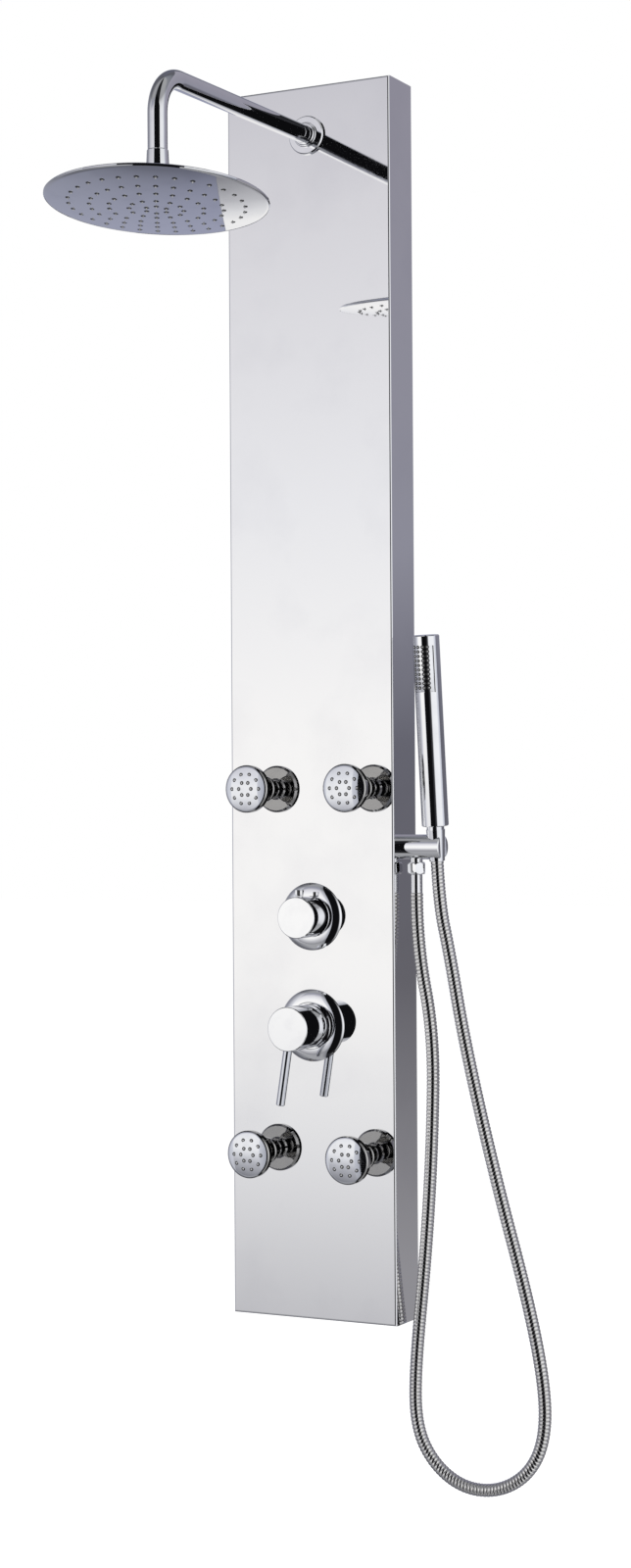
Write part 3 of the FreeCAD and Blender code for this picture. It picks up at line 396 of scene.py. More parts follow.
def ring_places(placement, rings, height, facing=Matrix()):
    """Placements in rings of a (count, radius) about a placement's Z, in mm, at the height of that radius."""
    places = []
    for count, radius in rings:
        for number in range(count):
            angle = math.tau * number / count
            at = Vector((radius * MM * math.cos(angle), radius * MM * math.sin(angle), height(radius) * MM))
            places.append(placement @ Matrix.Translation(at) @ facing)
    return places


def place(piece, placement):
    """Applies a placement to the mesh, so that the object itself stays at the origin."""
    only(piece)
    piece.matrix_world = placement
    bpy.ops.object.transform_apply(location=True, rotation=True, scale=True)


def finish(piece, name, material, body, angle=35.0):
    """Names, shades and dresses a piece, and gives it to a body."""
    only(piece)
    bpy.ops.object.shade_smooth_by_angle(angle=math.radians(angle))
    piece.name = name
    piece.data.name = name
    piece.data.materials.clear()
    piece.data.materials.append(material)
    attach(piece, body)


def turned(profile, sides=64, bored=False):
    """A turned piece about Z: a disc that is extruded and sized from one (radius, height) to the next, in mm.

    With bored, the two end discs go and a bore joins their edges."""
    deselect_all()
    radius, height = profile[0]
    bpy.ops.mesh.primitive_circle_add(
        vertices=sides, radius=radius * MM, fill_type="NGON", location=(0, 0, height * MM))
    piece = bpy.context.object
    bpy.ops.object.transform_apply(location=True)
    bpy.ops.object.mode_set(mode="EDIT")
    bpy.ops.mesh.select_all(action="SELECT")
    for next_radius, next_height in profile[1:]:
        rise = (next_height - height) * MM
        bpy.ops.mesh.extrude_region_move(TRANSFORM_OT_translate={"value": (0, 0, rise)})
        share = next_radius / radius
        bpy.ops.transform.resize(value=(share, share, 1), center_override=(0, 0, next_height * MM))
        radius, height = next_radius, next_height
    if bored:
        open_ends(piece, sides)
    bpy.ops.mesh.select_all(action="SELECT")
    bpy.ops.mesh.normals_make_consistent(inside=False)
    bpy.ops.object.mode_set(mode="OBJECT")
    return piece


def open_ends(piece, sides):
    """Takes away the end discs and bridges their edges, in edit mode."""
    bpy.ops.mesh.select_all(action="DESELECT")
    shape = bmesh.from_edit_mesh(piece.data)
    for face in shape.faces:
        face.select = len(face.verts) == sides
    bmesh.update_edit_mesh(piece.data)
    bpy.ops.mesh.select_mode(type="FACE")
    bpy.ops.mesh.delete(type="ONLY_FACE")
    bpy.ops.mesh.select_mode(type="EDGE")
    shape = bmesh.from_edit_mesh(piece.data)
    for edge in shape.edges:
        edge.select = len(edge.link_faces) == 1
    bmesh.update_edit_mesh(piece.data)
    bpy.ops.mesh.bridge_edge_loops()
    bpy.ops.mesh.select_mode(type="VERT")


def slope_at(share, slopes):
    """The slope in degrees at a share of the radius, from the (share, slope) pairs about it."""
    for (near, low), (far, high) in zip(slopes, slopes[1:]):
        if near <= share <= far:
            return low + (high - low) * (share - near) / (far - near)


def crowned(radius, height, bore, slopes):
    """A cover plate's profile, in mm, which falls from its flat middle to its edge by the slopes."""
    steps = 36
    edge_height = 0.05
    flat = slopes[0][0]
    run = radius * (1.0 - flat) / steps
    points = [(radius * flat, height)]
    for number in range(steps):
        share = flat + (1.0 - flat) * (number + 0.5) / steps
        reach, level = points[-1]
        fall = run * math.tan(math.radians(slope_at(share, slopes)))
        points.append((reach + run, max(level - fall, edge_height)))
    return [(bore, 0.0), (radius, 0.0)] + points[::-1] + [(bore, height)]


def soften(piece, width, angle=30.0):
    """Rounds the edges that are sharper than the angle, by a width in mm."""
    only(piece)
    bevel = piece.modifiers.new("edge", "BEVEL")
    bevel.width = width * MM
    bevel.segments = 2
    bevel.limit_method = "ANGLE"
    bevel.angle_limit = math.radians(angle)
    bpy.ops.object.modifier_apply(modifier=bevel.name)


def patterned(model, placements):
    """Copies of one modelled shape at the placements, joined to one piece; the model goes."""
    copies = []
    for placement in placements:
        copy = model.copy()
        copy.data = model.data.copy()
        copy.data.transform(placement)
        bpy.context.scene.collection.objects.link(copy)
        copies.append(copy)
    bpy.data.objects.remove(model, do_unlink=True)
    return joined(copies)


def shade_ring_model(radius):
    """The black ring that one nozzle sits in, in mm, along Z: painted shade round the nozzle's foot."""
    return turned([(radius, -0.3), (radius, 0.12), (radius * 0.9, 0.25), (radius * 0.3, 0.25)], sides=14)


def tip_model(radius, height):
    """One soft nozzle's tip with the dimple of its hole, in mm, along Z."""
    return turned([(radius, 0.0), (radius, height * 0.6), (radius * 0.8, height), (radius * 0.35, height),
                   (radius * 0.3, height * 0.7)], sides=10)


def add_spray(name, body, placements, shade_radius, tip, height):
    """The nozzles at the placements: one piece of the black rings that paint the shade round them, and one of
    their tips. Gives the tips.
    """
    shade_rings = patterned(shade_ring_model(shade_radius), placements)
    finish(shade_rings, name + "_wells", seal_and_shade_finish(), body)
    tips = patterned(tip_model(tip, height), placements)
    finish(tips, name + "_tips", nozzle_finish(), body)
    return tips


# ---------------------------------------------------------------- studio
def grey(red, green, blue):
    """A screen colour from 0 to 255 as light."""
    return tuple((c / 255) / 12.92 if c <= 10 else ((c / 255 + 0.055) / 1.055) ** 2.4
                 for c in (red, green, blue))


def light_only(name):
    """A material that is nothing but a light: gives the material, its tree and the light."""
    material = bpy.data.materials.new(name)
    material.use_nodes = True
    tree = material.node_tree
    tree.nodes.clear()
    light = tree.nodes.new("ShaderNodeEmission")
    out = tree.nodes.new("ShaderNodeOutputMaterial")
    tree.links.new(light.outputs["Emission"], out.inputs["Surface"])
    return material, tree, light


def add_split(tree):
    """The X, Y and Z of Object coordinates, as the sockets of a node."""
    position = tree.nodes.new("ShaderNodeTexCoord")
    split = tree.nodes.new("ShaderNodeSeparateXYZ")
    tree.links.new(position.outputs["Object"], split.inputs["Vector"])
    return split.outputs


def add_ramp(tree, share, stops):
    """A run of colours through the (position, colour) stops, read at a share from 0 to 1."""
    ramp = tree.nodes.new("ShaderNodeValToRGB")
    elements = ramp.color_ramp.elements
    for number, (position, colour) in enumerate(stops):
        stop = elements[number] if number < 2 else elements.new(position)
        stop.position = position
        stop.color = (*colour, 1)
    tree.links.new(share, ramp.inputs["Fac"])
    return ramp.outputs["Color"]


def card_light(name, stops, low, high, strength):
    """A card's light: a vertical run of greys between two heights."""
    material, tree, light = light_only(name)
    light.inputs["Strength"].default_value = strength
    share = add_span(tree, add_split(tree)["Z"], low, high)
    tree.links.new(add_ramp(tree, share, stops), light.inputs["Color"])
    return material


def tent_light(name, stops, low, high, dimming):
    """The tent's light: greys by bearing round the part, in degrees, dimmed by height as the points say."""
    material, tree, light = light_only(name)
    split = add_split(tree)
    bearing = add_math(tree, "ARCTAN2", split["X"], add_math(tree, "MULTIPLY", split["Y"], -1.0))
    turn = add_span(tree, bearing, -math.pi, math.pi)
    shares = [((degrees + 180.0) / 360.0, colour) for degrees, colour in stops]
    tree.links.new(add_ramp(tree, turn, shares), light.inputs["Color"])
    dim = tree.nodes.new("ShaderNodeFloatCurve")
    points = dim.mapping.curves[0].points
    points[0].location, points[1].location = dimming[0], dimming[-1]
    for height_share, strength in dimming[1:-1]:
        points.new(height_share, strength)
    dim.mapping.update()
    tree.links.new(add_span(tree, split["Z"], low, high), dim.inputs["Value"])
    tree.links.new(dim.outputs["Value"], light.inputs["Strength"])
    return material


def stage_for_shine(piece):
    """Hides a piece from all rays but reflections, so that only shiny surfaces see it."""
    for ray in ("camera", "diffuse", "transmission", "volume_scatter", "shadow"):
        setattr(piece, "visible_" + ray, False)


def add_card(name, start, end, low, high, stops, high_end=None, strength=1.0):
    """An upright card between two plan points that only shiny surfaces see; its top may slope."""
    (x0, y0), (x1, y1) = start, end
    top = high if high_end is None else high_end
    data = bpy.data.meshes.new(name)
    data.from_pydata([(x0, y0, low), (x1, y1, low), (x1, y1, top), (x0, y0, high)], [], [(0, 1, 2, 3)])
    data.materials.append(card_light(name, stops, low, high, strength))
    piece = bpy.data.objects.new(name, data)
    bpy.context.scene.collection.objects.link(piece)
    stage_for_shine(piece)


def seen_rays(tree, kinds):
    """1 for rays from the camera and for rays of the kinds named, and 0 for all others."""
    path = tree.nodes.new("ShaderNodeLightPath")
    seen = path.outputs["Is Camera Ray"]
    for kind in kinds:
        seen = add_math(tree, "MAXIMUM", seen, path.outputs["Is %s Ray" % kind])
    return seen


def set_camera():
    """The camera at the place and turn that the tray's straight edges give it."""
    stand = (1.38067, -2.69256, -0.67550)
    yaw, pitch, roll = math.radians(27.537), math.radians(0.395), math.radians(-0.345)
    data = bpy.data.cameras.new("studio camera")
    data.lens = sizes().lens
    data.sensor_width = 36.0
    data.clip_end = 60.0
    camera = bpy.data.objects.new("studio camera", data)
    bpy.context.scene.collection.objects.link(camera)
    ahead = Vector((-math.sin(yaw) * math.cos(pitch), math.cos(yaw) * math.cos(pitch), math.sin(pitch)))
    level = Vector((math.cos(yaw), math.sin(yaw), 0))
    upright = level.cross(ahead)
    right = level * math.cos(roll) + upright * math.sin(roll)
    up = upright * math.cos(roll) - level * math.sin(roll)
    turn = Matrix((right, up, -ahead)).transposed().to_4x4()
    camera.matrix_world = Matrix.Translation(stand) @ turn
    bpy.context.scene.camera = camera


def set_world():
    """A white room that lights a little less than it shows."""
    lighting_strength = 0.75
    world = bpy.data.worlds.new("white room")
    bpy.context.scene.world = world
    world.use_nodes = True
    tree = world.node_tree
    tree.nodes.clear()
    lighting = tree.nodes.new("ShaderNodeBackground")
    lighting.inputs["Strength"].default_value = lighting_strength
    shown = tree.nodes.new("ShaderNodeBackground")
    for background in (lighting, shown):
        background.inputs["Color"].default_value = (1, 1, 1, 1)
    pick = tree.nodes.new("ShaderNodeMixShader")
    tree.links.new(seen_rays(tree, ["Glossy", "Transmission"]), pick.inputs["Fac"])
    tree.links.new(lighting.outputs["Background"], pick.inputs[1])
    tree.links.new(shown.outputs["Background"], pick.inputs[2])
    out = tree.nodes.new("ShaderNodeOutputWorld")
    tree.links.new(pick.outputs["Shader"], out.inputs["Surface"])


def set_floor():
    """A white floor that shows as the background and keeps the shadow."""
    floor_size = 40.0
    glow_strength = 0.35
    deselect_all()
    bpy.ops.mesh.primitive_plane_add(size=floor_size, location=(0, 0, -sizes().floor_drop))
    floor = bpy.context.object
    floor.name = "floor"
    material = bpy.data.materials.new("floor")
    material.use_nodes = True
    tree = material.node_tree
    shader = tree.nodes["Principled BSDF"]
    shader.inputs["Base Color"].default_value = (0.9, 0.9, 0.9, 1)
    shader.inputs["Roughness"].default_value = 0.9
    shader.inputs["Specular IOR Level"].default_value = 0.0
    shader.inputs["Emission Color"].default_value = (1, 1, 1, 1)
    glow = add_math(tree, "MULTIPLY", seen_rays(tree, ["Glossy"]), glow_strength)
    tree.links.new(glow, shader.inputs["Emission Strength"])
    floor.data.materials.append(material)
    floor.visible_glossy = False


def set_lamps():
    """Two round lamps that shiny surfaces don't see."""
    middle = Vector((0, -0.1, -0.6))
    lamps = (("key", (-1.6, -2.6, 1.2), 1.6, 45.0), ("fill", (2.2, -2.0, 0.4), 1.8, 25.0))
    for name, stand, size, power in lamps:
        data = bpy.data.lights.new(name, "AREA")
        data.shape = "DISK"
        data.size = size
        data.energy = power
        lamp = bpy.data.objects.new(name, data)
        bpy.context.scene.collection.objects.link(lamp)
        turn = (middle - Vector(stand)).to_track_quat("-Z", "Y").to_matrix().to_4x4()
        lamp.matrix_world = Matrix.Translation(stand) @ turn
        lamp.visible_glossy = False


def set_tent():
    """A round wall with a lid and a base, about the part, for everything that the cards leave open."""
    low, high, radius = -3.6, 3.0, 4.2
    deselect_all()
    bpy.ops.mesh.primitive_cylinder_add(
        vertices=96, radius=radius, depth=high - low, location=(0, -0.3, (low + high) / 2))
    tent = bpy.context.object
    tent.name = "tent"
    bpy.ops.object.transform_apply(location=True)
    stops = [(-180, grey(152, 153, 166)), (-150, grey(153, 156, 177)), (-118, grey(152, 154, 166)),
             (-92, grey(136, 137, 147)), (-72, grey(165, 166, 175)), (-56, grey(205, 206, 214)),
             (-42, grey(238, 239, 244)), (-18, grey(232, 233, 238)), (-7, grey(190, 192, 200)),
             (-2, grey(60, 61, 66)), (40, grey(48, 48, 52)), (48, grey(245, 246, 249)),
             (90, grey(247, 248, 251)), (104, grey(205, 208, 219)), (126, grey(190, 194, 206)),
             (144, grey(145, 147, 158)), (180, grey(150, 150, 160))]
    dimming = [(0.0, 0.45), (0.35, 1.0), (0.6, 1.0), (1.0, 0.40)]
    tent.data.materials.append(tent_light("tent", stops, low, high, dimming))
    stage_for_shine(tent)


def set_cards():
    """What the polished front, the jets and the tray's side mirror towards the camera."""
    low, high = -3.0, 2.6
    add_card("card_front_left", (-4.0, -3.0), (-0.75, -3.0), low, high, [
        (0.0, grey(130, 130, 136)), (0.20, grey(196, 196, 200)), (0.27, grey(228, 228, 230)),
        (0.34, grey(251, 250, 249)), (0.44, grey(253, 252, 251)), (0.54, grey(238, 238, 241)),
        (0.66, grey(219, 218, 223)), (0.72, grey(202, 201, 208)), (0.82, grey(161, 162, 173)),
        (1.0, grey(142, 144, 156))], strength=1.06)
    add_card("card_near_camera", (-0.05, -0.85), (0.485, -0.70), -1.9, 0.6, [
        (0.0, grey(16, 16, 18)), (1.0, grey(14, 14, 16))], high_end=0.25)
    add_card("card_back_right", (-0.2, 1.6), (4.0, 1.6), low, high, [
        (0.0, grey(150, 149, 154)), (0.27, grey(150, 149, 154)), (0.36, grey(104, 103, 110)),
        (0.433, grey(106, 106, 117)), (0.494, grey(147, 147, 160)), (0.64, grey(150, 148, 161)),
        (1.0, grey(160, 158, 170))])


class SHOWER_OT_stage(bpy.types.Operator):
    """Sets the camera, the white room with its floor and lamps, and the cards that the chrome reflects"""
    bl_idname = "shower.stage"
    bl_label = "Studio"

    def execute(self, context):
        set_camera()
        set_world()
        set_floor()
        set_lamps()
        set_tent()
        set_cards()
        return {"FINISHED"}


# ---------------------------------------------------------------- pieces
class SHOWER_OT_tray(bpy.types.Operator):
    """Finishes the polished tray, the wall brackets and the hanger bars"""
    bl_idname = "shower.tray"
    bl_label = "Tray and brackets"

    def execute(self, context):
        dress(["front_tray"], mirror_finish())
        dress(["wall_brackets", "hanger_bars"], plain_steel_finish())
        return {"FINISHED"}


class SHOWER_OT_waterways(bpy.types.Operator):
    """Finishes the valves, tees, nuts, pipes and ball seats; what shows in front of the panel is chrome"""
    bl_idname = "shower.waterways"
    bl_label = "Pipes and valves"

    def execute(self, context):
        valves = ["diverter_valve", "diverter_spindle", "mixer_valve", "mixer_spindle"]
        dress(valves + ["arm_lock_nut", "arm_elbow", "jet_lock_nuts", "jet_tees", "holder_lock_nut",
                        "hose_upper_ferrule"], brass_finish())
        dress_in_front(valves, chrome_finish())
        dress(["riser_pipe", "link_pipe", "jet_pipes", "hand_shower_pipe"], copper_finish())
        dress(["head_seat_ring"] + ["jet_%d_seat" % number for number in range(1, 5)], seat_finish())
        dress(["head_seal_ring"], seal_and_shade_finish())
        return {"FINISHED"}


class SHOWER_OT_arm(bpy.types.Operator):
    """Finishes the arm's wall flange and swivel collar, and adds the arm, which droops a little"""
    bl_idname = "shower.arm"
    bl_label = "Arm and collar"
    tube_radius = 10.0
    bend_radius = 42.0
    end_in_collar = 8.0
    droop = 0.95
    sides = 56
    bend_steps = 28

    def execute(self, context):
        dress(["arm_flange", "swivel_collar"], chrome_finish())
        low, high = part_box("shower_arm")
        radius, bend = self.tube_radius * MM, self.bend_radius * MM
        droop = math.radians(self.droop)
        level, drop = high.z - radius, low.y + radius
        run = (panel_front - drop - bend + bend * math.sin(droop)) / math.cos(droop)
        bend_start = Vector((0, panel_front - run * math.cos(droop), level - run * math.sin(droop)))
        bend_centre = bend_start + Vector((0, math.sin(droop), -math.cos(droop))) * bend
        tail = Vector((0, high.y, level + (high.y - panel_front) * math.tan(droop)))
        fall = low.z + self.end_in_collar * MM - bend_centre.z
        deselect_all()
        bpy.ops.mesh.primitive_circle_add(vertices=self.sides, radius=radius, fill_type="NGON",
                                          location=tail, rotation=(math.pi / 2 + droop, 0, 0))
        arm = bpy.context.object
        bpy.ops.object.transform_apply(location=True, rotation=True)
        bpy.ops.object.mode_set(mode="EDIT")
        bpy.ops.mesh.select_all(action="SELECT")
        bpy.ops.mesh.extrude_region_move(TRANSFORM_OT_translate={"value": bend_start - tail})
        bpy.ops.mesh.spin(
            steps=self.bend_steps, angle=droop - math.pi / 2, center=bend_centre, axis=(1, 0, 0))
        bpy.ops.mesh.extrude_region_move(TRANSFORM_OT_translate={"value": (0, 0, fall)})
        bpy.ops.mesh.select_all(action="SELECT")
        bpy.ops.mesh.remove_doubles(threshold=0.01 * MM)
        bpy.ops.mesh.normals_make_consistent(inside=False)
        bpy.ops.object.mode_set(mode="OBJECT")
        finish(arm, "arm_tube", chrome_finish(), "panel")
        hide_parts("shower_arm")
        return {"FINISHED"}


class SHOWER_OT_rain_head(bpy.types.Operator):
    """Finishes the rain head, and adds its slightly domed face and its rings of soft nozzles"""
    bl_idname = "shower.rain_head"
    bl_label = "Rain head"
    face_radius = 111.4
    belly_depth = 8.6
    lip = 0.3
    belly_shares = (0.995, 0.97, 0.93, 0.87, 0.8, 0.7, 0.6, 0.5, 0.4, 0.3, 0.2, 0.1, 0.01)
    rings = ((30, 87.75), (24, 66.4), (18, 47.25), (12, 27.0), (6, 11.25))
    sunk = 0.1
    tip_radius = 0.85

    def execute(self, context):
        dress(["head_shell", "head_socket_nut"], chrome_finish())
        flat_face = nodes["head_face"].data
        heights = [(vertex.co - ball_centre).dot(head_axis) / MM for vertex in flat_face.vertices]
        rim, back = min(heights), max(heights)
        upright = Matrix.Translation(ball_centre) @ Matrix.Rotation(-math.asin(head_axis.y), 4, "X")
        reaches = [self.face_radius * share for share in self.belly_shares]
        face = turned([(self.face_radius, back - 0.1), (self.face_radius, rim + self.lip)]
                      + [(reach, rim - self.belly(reach)) for reach in reaches], sides=128)
        place(face, upright)
        finish(face, "rain_face", chrome_finish(), "rain_head")
        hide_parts("head_face")
        places = ring_places(upright, self.rings, lambda reach: rim - self.belly(reach) + self.sunk,
                             Matrix.Rotation(math.pi, 4, "X"))
        tips = add_spray("rain", "rain_head", places, sizes().rain_shade_ring_radius / MM, self.tip_radius,
                         sizes().nozzle_height / MM)
        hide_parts("head_nozzles")
        return {"FINISHED"}

    def belly(self, reach):
        """How far the slightly domed face hangs below its rim at a distance from its middle, in mm."""
        return self.belly_depth * (1.0 - (reach / self.face_radius) ** 2)


class SHOWER_OT_jets(bpy.types.Operator):
    """Finishes the four body jets and adds their spray faces"""
    bl_idname = "shower.jets"
    bl_label = "Body jets"
    ball_to_front = 17.0
    socket_radius = 23.2
    socket_depth = 3.0
    face_radius = 24.7
    face_rim = 0.02
    face_lift = 0.1
    crown_rise = 2.7
    crown_reaches = (24.6, 23, 21, 18, 15, 12, 9, 6, 3, 1)
    rings = ((10, 16.3), (6, 7.5))
    sunk = 0.05
    # The black rings round the nozzles paint their shade.
    shade_ring_radius = 2.2
    tip_radius = 0.95
    tip_height = 0.7

    def execute(self, context):
        for number in range(1, 5):
            # The jets' bases and heads get the chrome darkened as painted shade.
            dress(["jet_%d_base" % number, "jet_%d_head" % number], jet_painted_shade_finish())
            self.add_face("jet_%d" % number)
        return {"FINISHED"}

    def crown(self, reach, front):
        """The height of the slightly domed face at a distance from its middle, in mm."""
        return front + self.face_lift + self.crown_rise * (1.0 - (reach / self.face_radius) ** 2)

    def add_face(self, jet):
        centre = joint_centre(jet + "_pitch")
        placement = frame_on_front(centre)
        front = (panel_front - centre.y) / MM + self.ball_to_front
        face = turned([(self.socket_radius, front - self.socket_depth), (self.socket_radius, front),
                       (self.face_radius, front + self.face_rim)]
                      + [(reach, self.crown(reach, front)) for reach in self.crown_reaches], sides=72)
        place(face, placement)
        finish(face, jet + "_spray_face", spray_plate_finish(), jet + "_spray")
        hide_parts(jet + "_face")
        places = ring_places(placement, self.rings, lambda reach: self.crown(reach, front) - self.sunk)
        add_spray(jet, jet + "_spray", places, self.shade_ring_radius, self.tip_radius, self.tip_height)


def add_plate(node, centre, bore, flat):
    """The crowned cover plate in the place of a node, which is flat as far as a share of its radius."""
    height = 5.0
    # The slope in degrees at so many tenths of the way from the flat middle to the edge.
    falls = ((0.0, 0.0), (2.6, 8.0), (4.7, 15.0), (6.8, 24.0), (8.4, 33.0), (9.6, 45.0), (10.0, 60.0))
    low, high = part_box(node)
    radius = (high.x - low.x) / 2 / MM
    tenth = (1.0 - flat) / 10
    slopes = [(flat + tenths * tenth, slope) for tenths, slope in falls]
    plate = turned(crowned(radius, height, bore, slopes), sides=96, bored=True)
    place(plate, frame_on_front(centre))
    finish(plate, node + "_crowned", chrome_finish(), "panel")
    return plate


class SHOWER_OT_diverter(bpy.types.Operator):
    """Finishes the diverter's knob, and adds its crowned plate with the raised marks"""
    bl_idname = "shower.diverter"
    bl_label = "Diverter"
    bore = 15.05
    flat = 0.62
    # Each mark is given by the place of its middle on the plate, its width and its height, in mm.
    bars = ((-16.2, 25.6, 2.8, 7.0), (-10.0, 25.6, 3.2, 7.0), (9.4, 24.6, 2.6, 5.4))
    inlays = ((-13.2, 25.6, 2.9, 6.6), (6.3, 24.6, 3.4, 5.2))
    mark_level = 4.2
    mark_depth = 3.2
    mark_edge = 0.35

    def execute(self, context):
        dress(["diverter_knob"], chrome_finish())
        plate = add_plate("diverter_plate", joint_centre("diverter_turn"), self.bore, self.flat)
        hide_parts("diverter_plate")
        for name, marks, material, slot in (("diverter_marks", self.bars, chrome_finish(), "chrome"),
                                            ("diverter_inlays", self.inlays, seal_and_shade_finish(), "nozzle_rubber")):
            piece = joined([self.add_mark(*mark) for mark in marks])
            finish(piece, name, material, "panel")
        return {"FINISHED"}

    def add_mark(self, x, up, width, tall):
        deselect_all()
        bpy.ops.mesh.primitive_cube_add(size=MM, location=(x * MM, up * MM, self.mark_level * MM))
        mark = bpy.context.object
        mark.scale = (width, tall, self.mark_depth)
        bpy.ops.object.transform_apply(location=True, scale=True)
        soften(mark, self.mark_edge)
        place(mark, frame_on_front(joint_centre("diverter_turn")))
        return mark


class SHOWER_OT_mixer(bpy.types.Operator):
    """Finishes the mixer's collar, handle and lever, and adds its crowned plate"""
    bl_idname = "shower.mixer"
    bl_label = "Mixer"
    bore = 15.55
    flat = 0.64

    def execute(self, context):
        dress(["mixer_collar", "mixer_knob"], chrome_finish())
        dress(["mixer_lever"], spray_plate_finish())
        plate = add_plate("mixer_plate", joint_centre("mixer_turn"), self.bore, self.flat)
        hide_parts("mixer_plate")
        return {"FINISHED"}


class SHOWER_OT_holder(bpy.types.Operator):
    """Finishes the holder bar and the hose's ferrule, and adds the hose's chamfered nut"""
    bl_idname = "shower.holder"
    bl_label = "Holder"
    corner_radius = 10.39
    cone_radius = 10.7
    cone_end_radius = 8.7
    cone_length = 3.2
    past_end = 0.1
    turn = 20.0
    edge = 0.3

    def execute(self, context):
        dress(["holder_bar", "hose_lower_ferrule"], chrome_finish())
        low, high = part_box("hose_hex_nut")
        half = (high.z - low.z) / 2 / MM
        nut = turned([(self.corner_radius, -half), (self.corner_radius, half)], sides=6)
        end, full = half + self.past_end, half - self.cone_length
        cone = turned([(self.cone_end_radius, -end), (self.cone_radius, -full), (self.cone_radius, full),
                       (self.cone_end_radius, end)])
        only(nut)
        chamfer = nut.modifiers.new("chamfer", "BOOLEAN")
        chamfer.operation = "INTERSECT"
        chamfer.object = cone
        bpy.ops.object.modifier_apply(modifier=chamfer.name)
        bpy.data.objects.remove(cone, do_unlink=True)
        soften(nut, self.edge, angle=40.0)
        place(nut, Matrix.Translation((low + high) / 2) @ Matrix.Rotation(math.radians(self.turn), 4, "Z"))
        finish(nut, "hose_nut", chrome_finish(), "panel", angle=20.0)
        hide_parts("hose_hex_nut")
        return {"FINISHED"}


def smooth_line(route):
    """Close points along the smooth curve that the route controls."""
    curve = bpy.data.curves.new("route", "CURVE")
    curve.dimensions = "3D"
    curve.resolution_u = 48
    spline = curve.splines.new("NURBS")
    spline.points.add(len(route) - 1)
    for point, at in zip(spline.points, route):
        point.co = (*at, 1)
    spline.order_u = 3
    spline.use_endpoint_u = True
    holder = bpy.data.objects.new("route", curve)
    bpy.context.scene.collection.objects.link(holder)
    bpy.context.view_layer.update()
    mesh = bpy.data.meshes.new_from_object(holder.evaluated_get(bpy.context.evaluated_depsgraph_get()))
    line = [vertex.co.copy() for vertex in mesh.vertices]
    bpy.data.objects.remove(holder, do_unlink=True)
    bpy.data.meshes.remove(mesh)
    return line


def ribbed_points(line, pitch, shares):
    """Points along a line at the given shares of every pitch; the pitch is fitted to the line's length."""
    reach = [0.0]
    for here, there in zip(line, line[1:]):
        reach.append(reach[-1] + (there - here).length)
    count = round(reach[-1] / pitch)
    wanted = [reach[-1] * (rib + share) / count for rib in range(count) for share in shares] + [reach[-1]]
    points = []
    leg = 0
    for want in wanted:
        while leg < len(line) - 2 and reach[leg + 1] < want:
            leg += 1
        part = (want - reach[leg]) / (reach[leg + 1] - reach[leg])
        points.append(line[leg].lerp(line[leg + 1], part))
    return points


def tube_mesh(name, points, radii, sides):
    """A closed tube whose ring at each point has the radius given there."""
    data = bpy.data.meshes.new(name)
    shape = bmesh.new()
    rings = []
    side = Vector((1, 0, 0))
    for number, (point, radius) in enumerate(zip(points, radii)):
        before = points[max(number - 1, 0)]
        after = points[min(number + 1, len(points) - 1)]
        heading = (after - before).normalized()
        side = (side - heading * side.dot(heading)).normalized()
        across = heading.cross(side)
        turns = [math.tau * step / sides for step in range(sides)]
        rings.append([shape.verts.new(point + (side * math.cos(turn) + across * math.sin(turn)) * radius)
                      for turn in turns])
    for ring, following in zip(rings, rings[1:]):
        for step in range(sides):
            beside = (step + 1) % sides
            shape.faces.new((ring[step], ring[beside], following[beside], following[step]))
    shape.faces.new(reversed(rings[0]))
    shape.faces.new(rings[-1])
    bmesh.ops.recalc_face_normals(shape, faces=shape.faces)
    shape.to_mesh(data)
    shape.free()
    return data


class SHOWER_OT_hose(bpy.types.Operator):
    """Adds the interlocked metal hose along its hanging route"""
    bl_idname = "shower.hose"
    bl_label = "Hose"
    sides = 20

    def execute(self, context):
        radius = sizes().hose_diameter / 2
        groove = radius - sizes().rib_depth
        shoulder = radius - sizes().rib_depth * 0.3
        rib = ((0.0, groove), (0.12, shoulder), (0.3, radius), (0.7, radius), (0.88, shoulder))
        points = ribbed_points(smooth_line(hose_route), sizes().rib_pitch, [share for share, reach in rib])
        radii = [rib[number % len(rib)][1] for number in range(len(points))]
        data = tube_mesh("hose", points, radii, self.sides)
        piece = bpy.data.objects.new("hose", data)
        context.scene.collection.objects.link(piece)
        data.materials.append(hose_finish())
        only(piece)
        bpy.ops.object.shade_smooth_by_angle(angle=math.radians(50))
        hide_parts("shower_hose")
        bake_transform(piece)
        return {"FINISHED"}


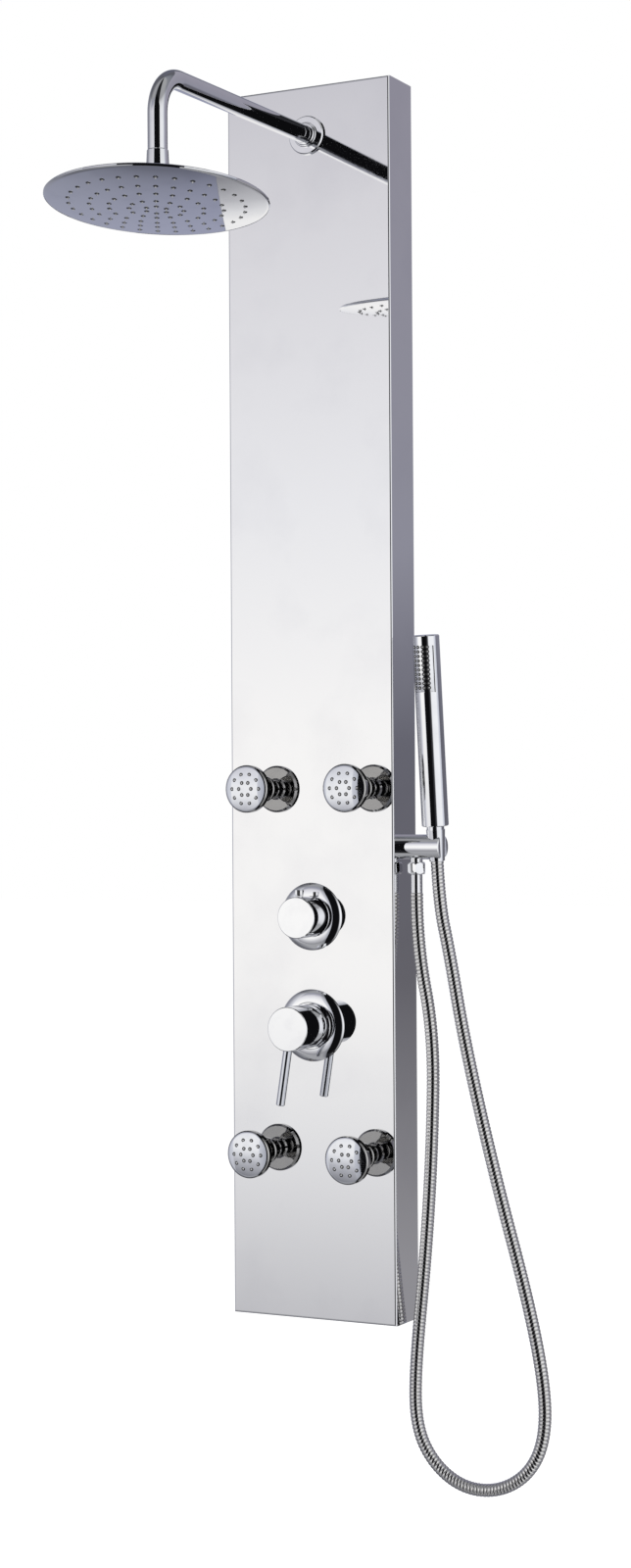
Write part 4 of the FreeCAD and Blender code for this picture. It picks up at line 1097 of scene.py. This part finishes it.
class SHOWER_OT_hand_shower(bpy.types.Operator):
    """Finishes the hand shower, and adds its spray plate and its columns of nozzles"""
    bl_idname = "shower.hand_shower"
    bl_label = "Hand shower"
    plate_radius = 14.4
    plate_low = 168.4
    plate_high = 220.8
    plate_wall = 1.0
    plate_edge = 0.45
    half_angle = 55.0
    middle = -3.0
    columns = 4
    column_step = 21.5
    rows = 10
    first_row = 173.0
    row_pitch = 4.85
    # The black rings round the nozzles paint their shade.
    shade_ring_radius = 2.0
    tip_radius = 0.65
    tip_height = 0.6

    def execute(self, context):
        dress(["hose_cone_nut", "handset_neck", "handset_body", "handset_cap"], chrome_finish())
        self.add_plate()
        self.add_nozzles()
        return {"FINISHED"}

    def add_plate(self):
        """The spray plate: an arc about the barrel, given a thickness and rounded edges."""
        deselect_all()
        bpy.ops.mesh.primitive_circle_add(
            vertices=120, radius=self.plate_radius * MM, location=(0, 0, self.plate_low * MM))
        plate = bpy.context.object
        bpy.ops.object.transform_apply(location=True)
        bpy.ops.object.mode_set(mode="EDIT")
        bpy.ops.mesh.select_all(action="DESELECT")
        shape = bmesh.from_edit_mesh(plate.data)
        for vertex in shape.verts:
            bearing = math.degrees(math.atan2(vertex.co.x, -vertex.co.y))
            vertex.select = abs(bearing - self.middle) > self.half_angle
        bmesh.update_edit_mesh(plate.data)
        bpy.ops.mesh.delete(type="VERT")
        bpy.ops.mesh.select_all(action="SELECT")
        rise = (self.plate_high - self.plate_low) * MM
        bpy.ops.mesh.extrude_region_move(TRANSFORM_OT_translate={"value": (0, 0, rise)})
        bpy.ops.mesh.select_all(action="SELECT")
        bpy.ops.mesh.normals_make_consistent(inside=False)
        bpy.ops.object.mode_set(mode="OBJECT")
        faces = plate.data.polygons
        outward = sum(face.normal.dot(Vector((face.center.x, face.center.y, 0))) for face in faces)
        wall = plate.modifiers.new("wall", "SOLIDIFY")
        wall.thickness = self.plate_wall * MM
        wall.offset = -1.0 if outward > 0 else 1.0
        bpy.ops.object.modifier_apply(modifier=wall.name)
        soften(plate, self.plate_edge, angle=50.0)
        place(plate, frame_on_cradle())
        finish(plate, "spray_plate", chrome_finish(), "handset")
        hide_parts("handset_face")

    def add_nozzles(self):
        outwards = Matrix.Rotation(math.pi / 2, 4, "X")
        places = []
        for column in range(self.columns):
            from_middle = (column - (self.columns - 1) / 2) * self.column_step
            turn = Matrix.Rotation(math.radians(self.middle + from_middle), 4, "Z")
            for row in range(self.rows):
                height = (self.first_row + self.row_pitch * row) * MM
                spot = turn @ Matrix.Translation((0, -self.plate_radius * MM, height))
                places.append(frame_on_cradle() @ spot @ outwards)
        tips = add_spray("hand_spray", "handset", places, self.shade_ring_radius, self.tip_radius, self.tip_height)
        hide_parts("handset_nozzles")


class SHOWER_PT_panel(bpy.types.Panel):
    """Lists the shower panel's pieces, sizes and colours"""
    bl_idname = "SHOWER_PT_panel"
    bl_label = "Shower panel"
    bl_space_type = "VIEW_3D"
    bl_region_type = "UI"
    bl_category = "Shower panel"

    def draw(self, context):
        column = self.layout.column(align=True)
        for operator in piece_operators:
            column.operator(operator.bl_idname)
        for group in (context.scene.shower_sizes, context.scene.shower_colours):
            box = self.layout.box()
            for name in group.__annotations__:
                box.prop(group, name)


piece_operators = (
    SHOWER_OT_stage, SHOWER_OT_tray, SHOWER_OT_waterways, SHOWER_OT_arm, SHOWER_OT_rain_head, SHOWER_OT_jets,
    SHOWER_OT_diverter, SHOWER_OT_mixer, SHOWER_OT_holder, SHOWER_OT_hose, SHOWER_OT_hand_shower)
registered = (ShowerSizes, ShowerColours, *piece_operators, SHOWER_PT_panel)


def register():
    for item in registered:
        bpy.utils.register_class(item)
    bpy.types.Scene.shower_sizes = PointerProperty(type=ShowerSizes)
    bpy.types.Scene.shower_colours = PointerProperty(type=ShowerColours)


def unregister():
    del bpy.types.Scene.shower_sizes
    del bpy.types.Scene.shower_colours
    for item in reversed(registered):
        bpy.utils.unregister_class(item)


def main():
    register()
    bpy.context.scene.view_settings.view_transform = "Standard"
    for operator in piece_operators:
        group, name = operator.bl_idname.split(".")
        getattr(getattr(bpy.ops, group), name)()


if __name__ == "__main__":
    main()
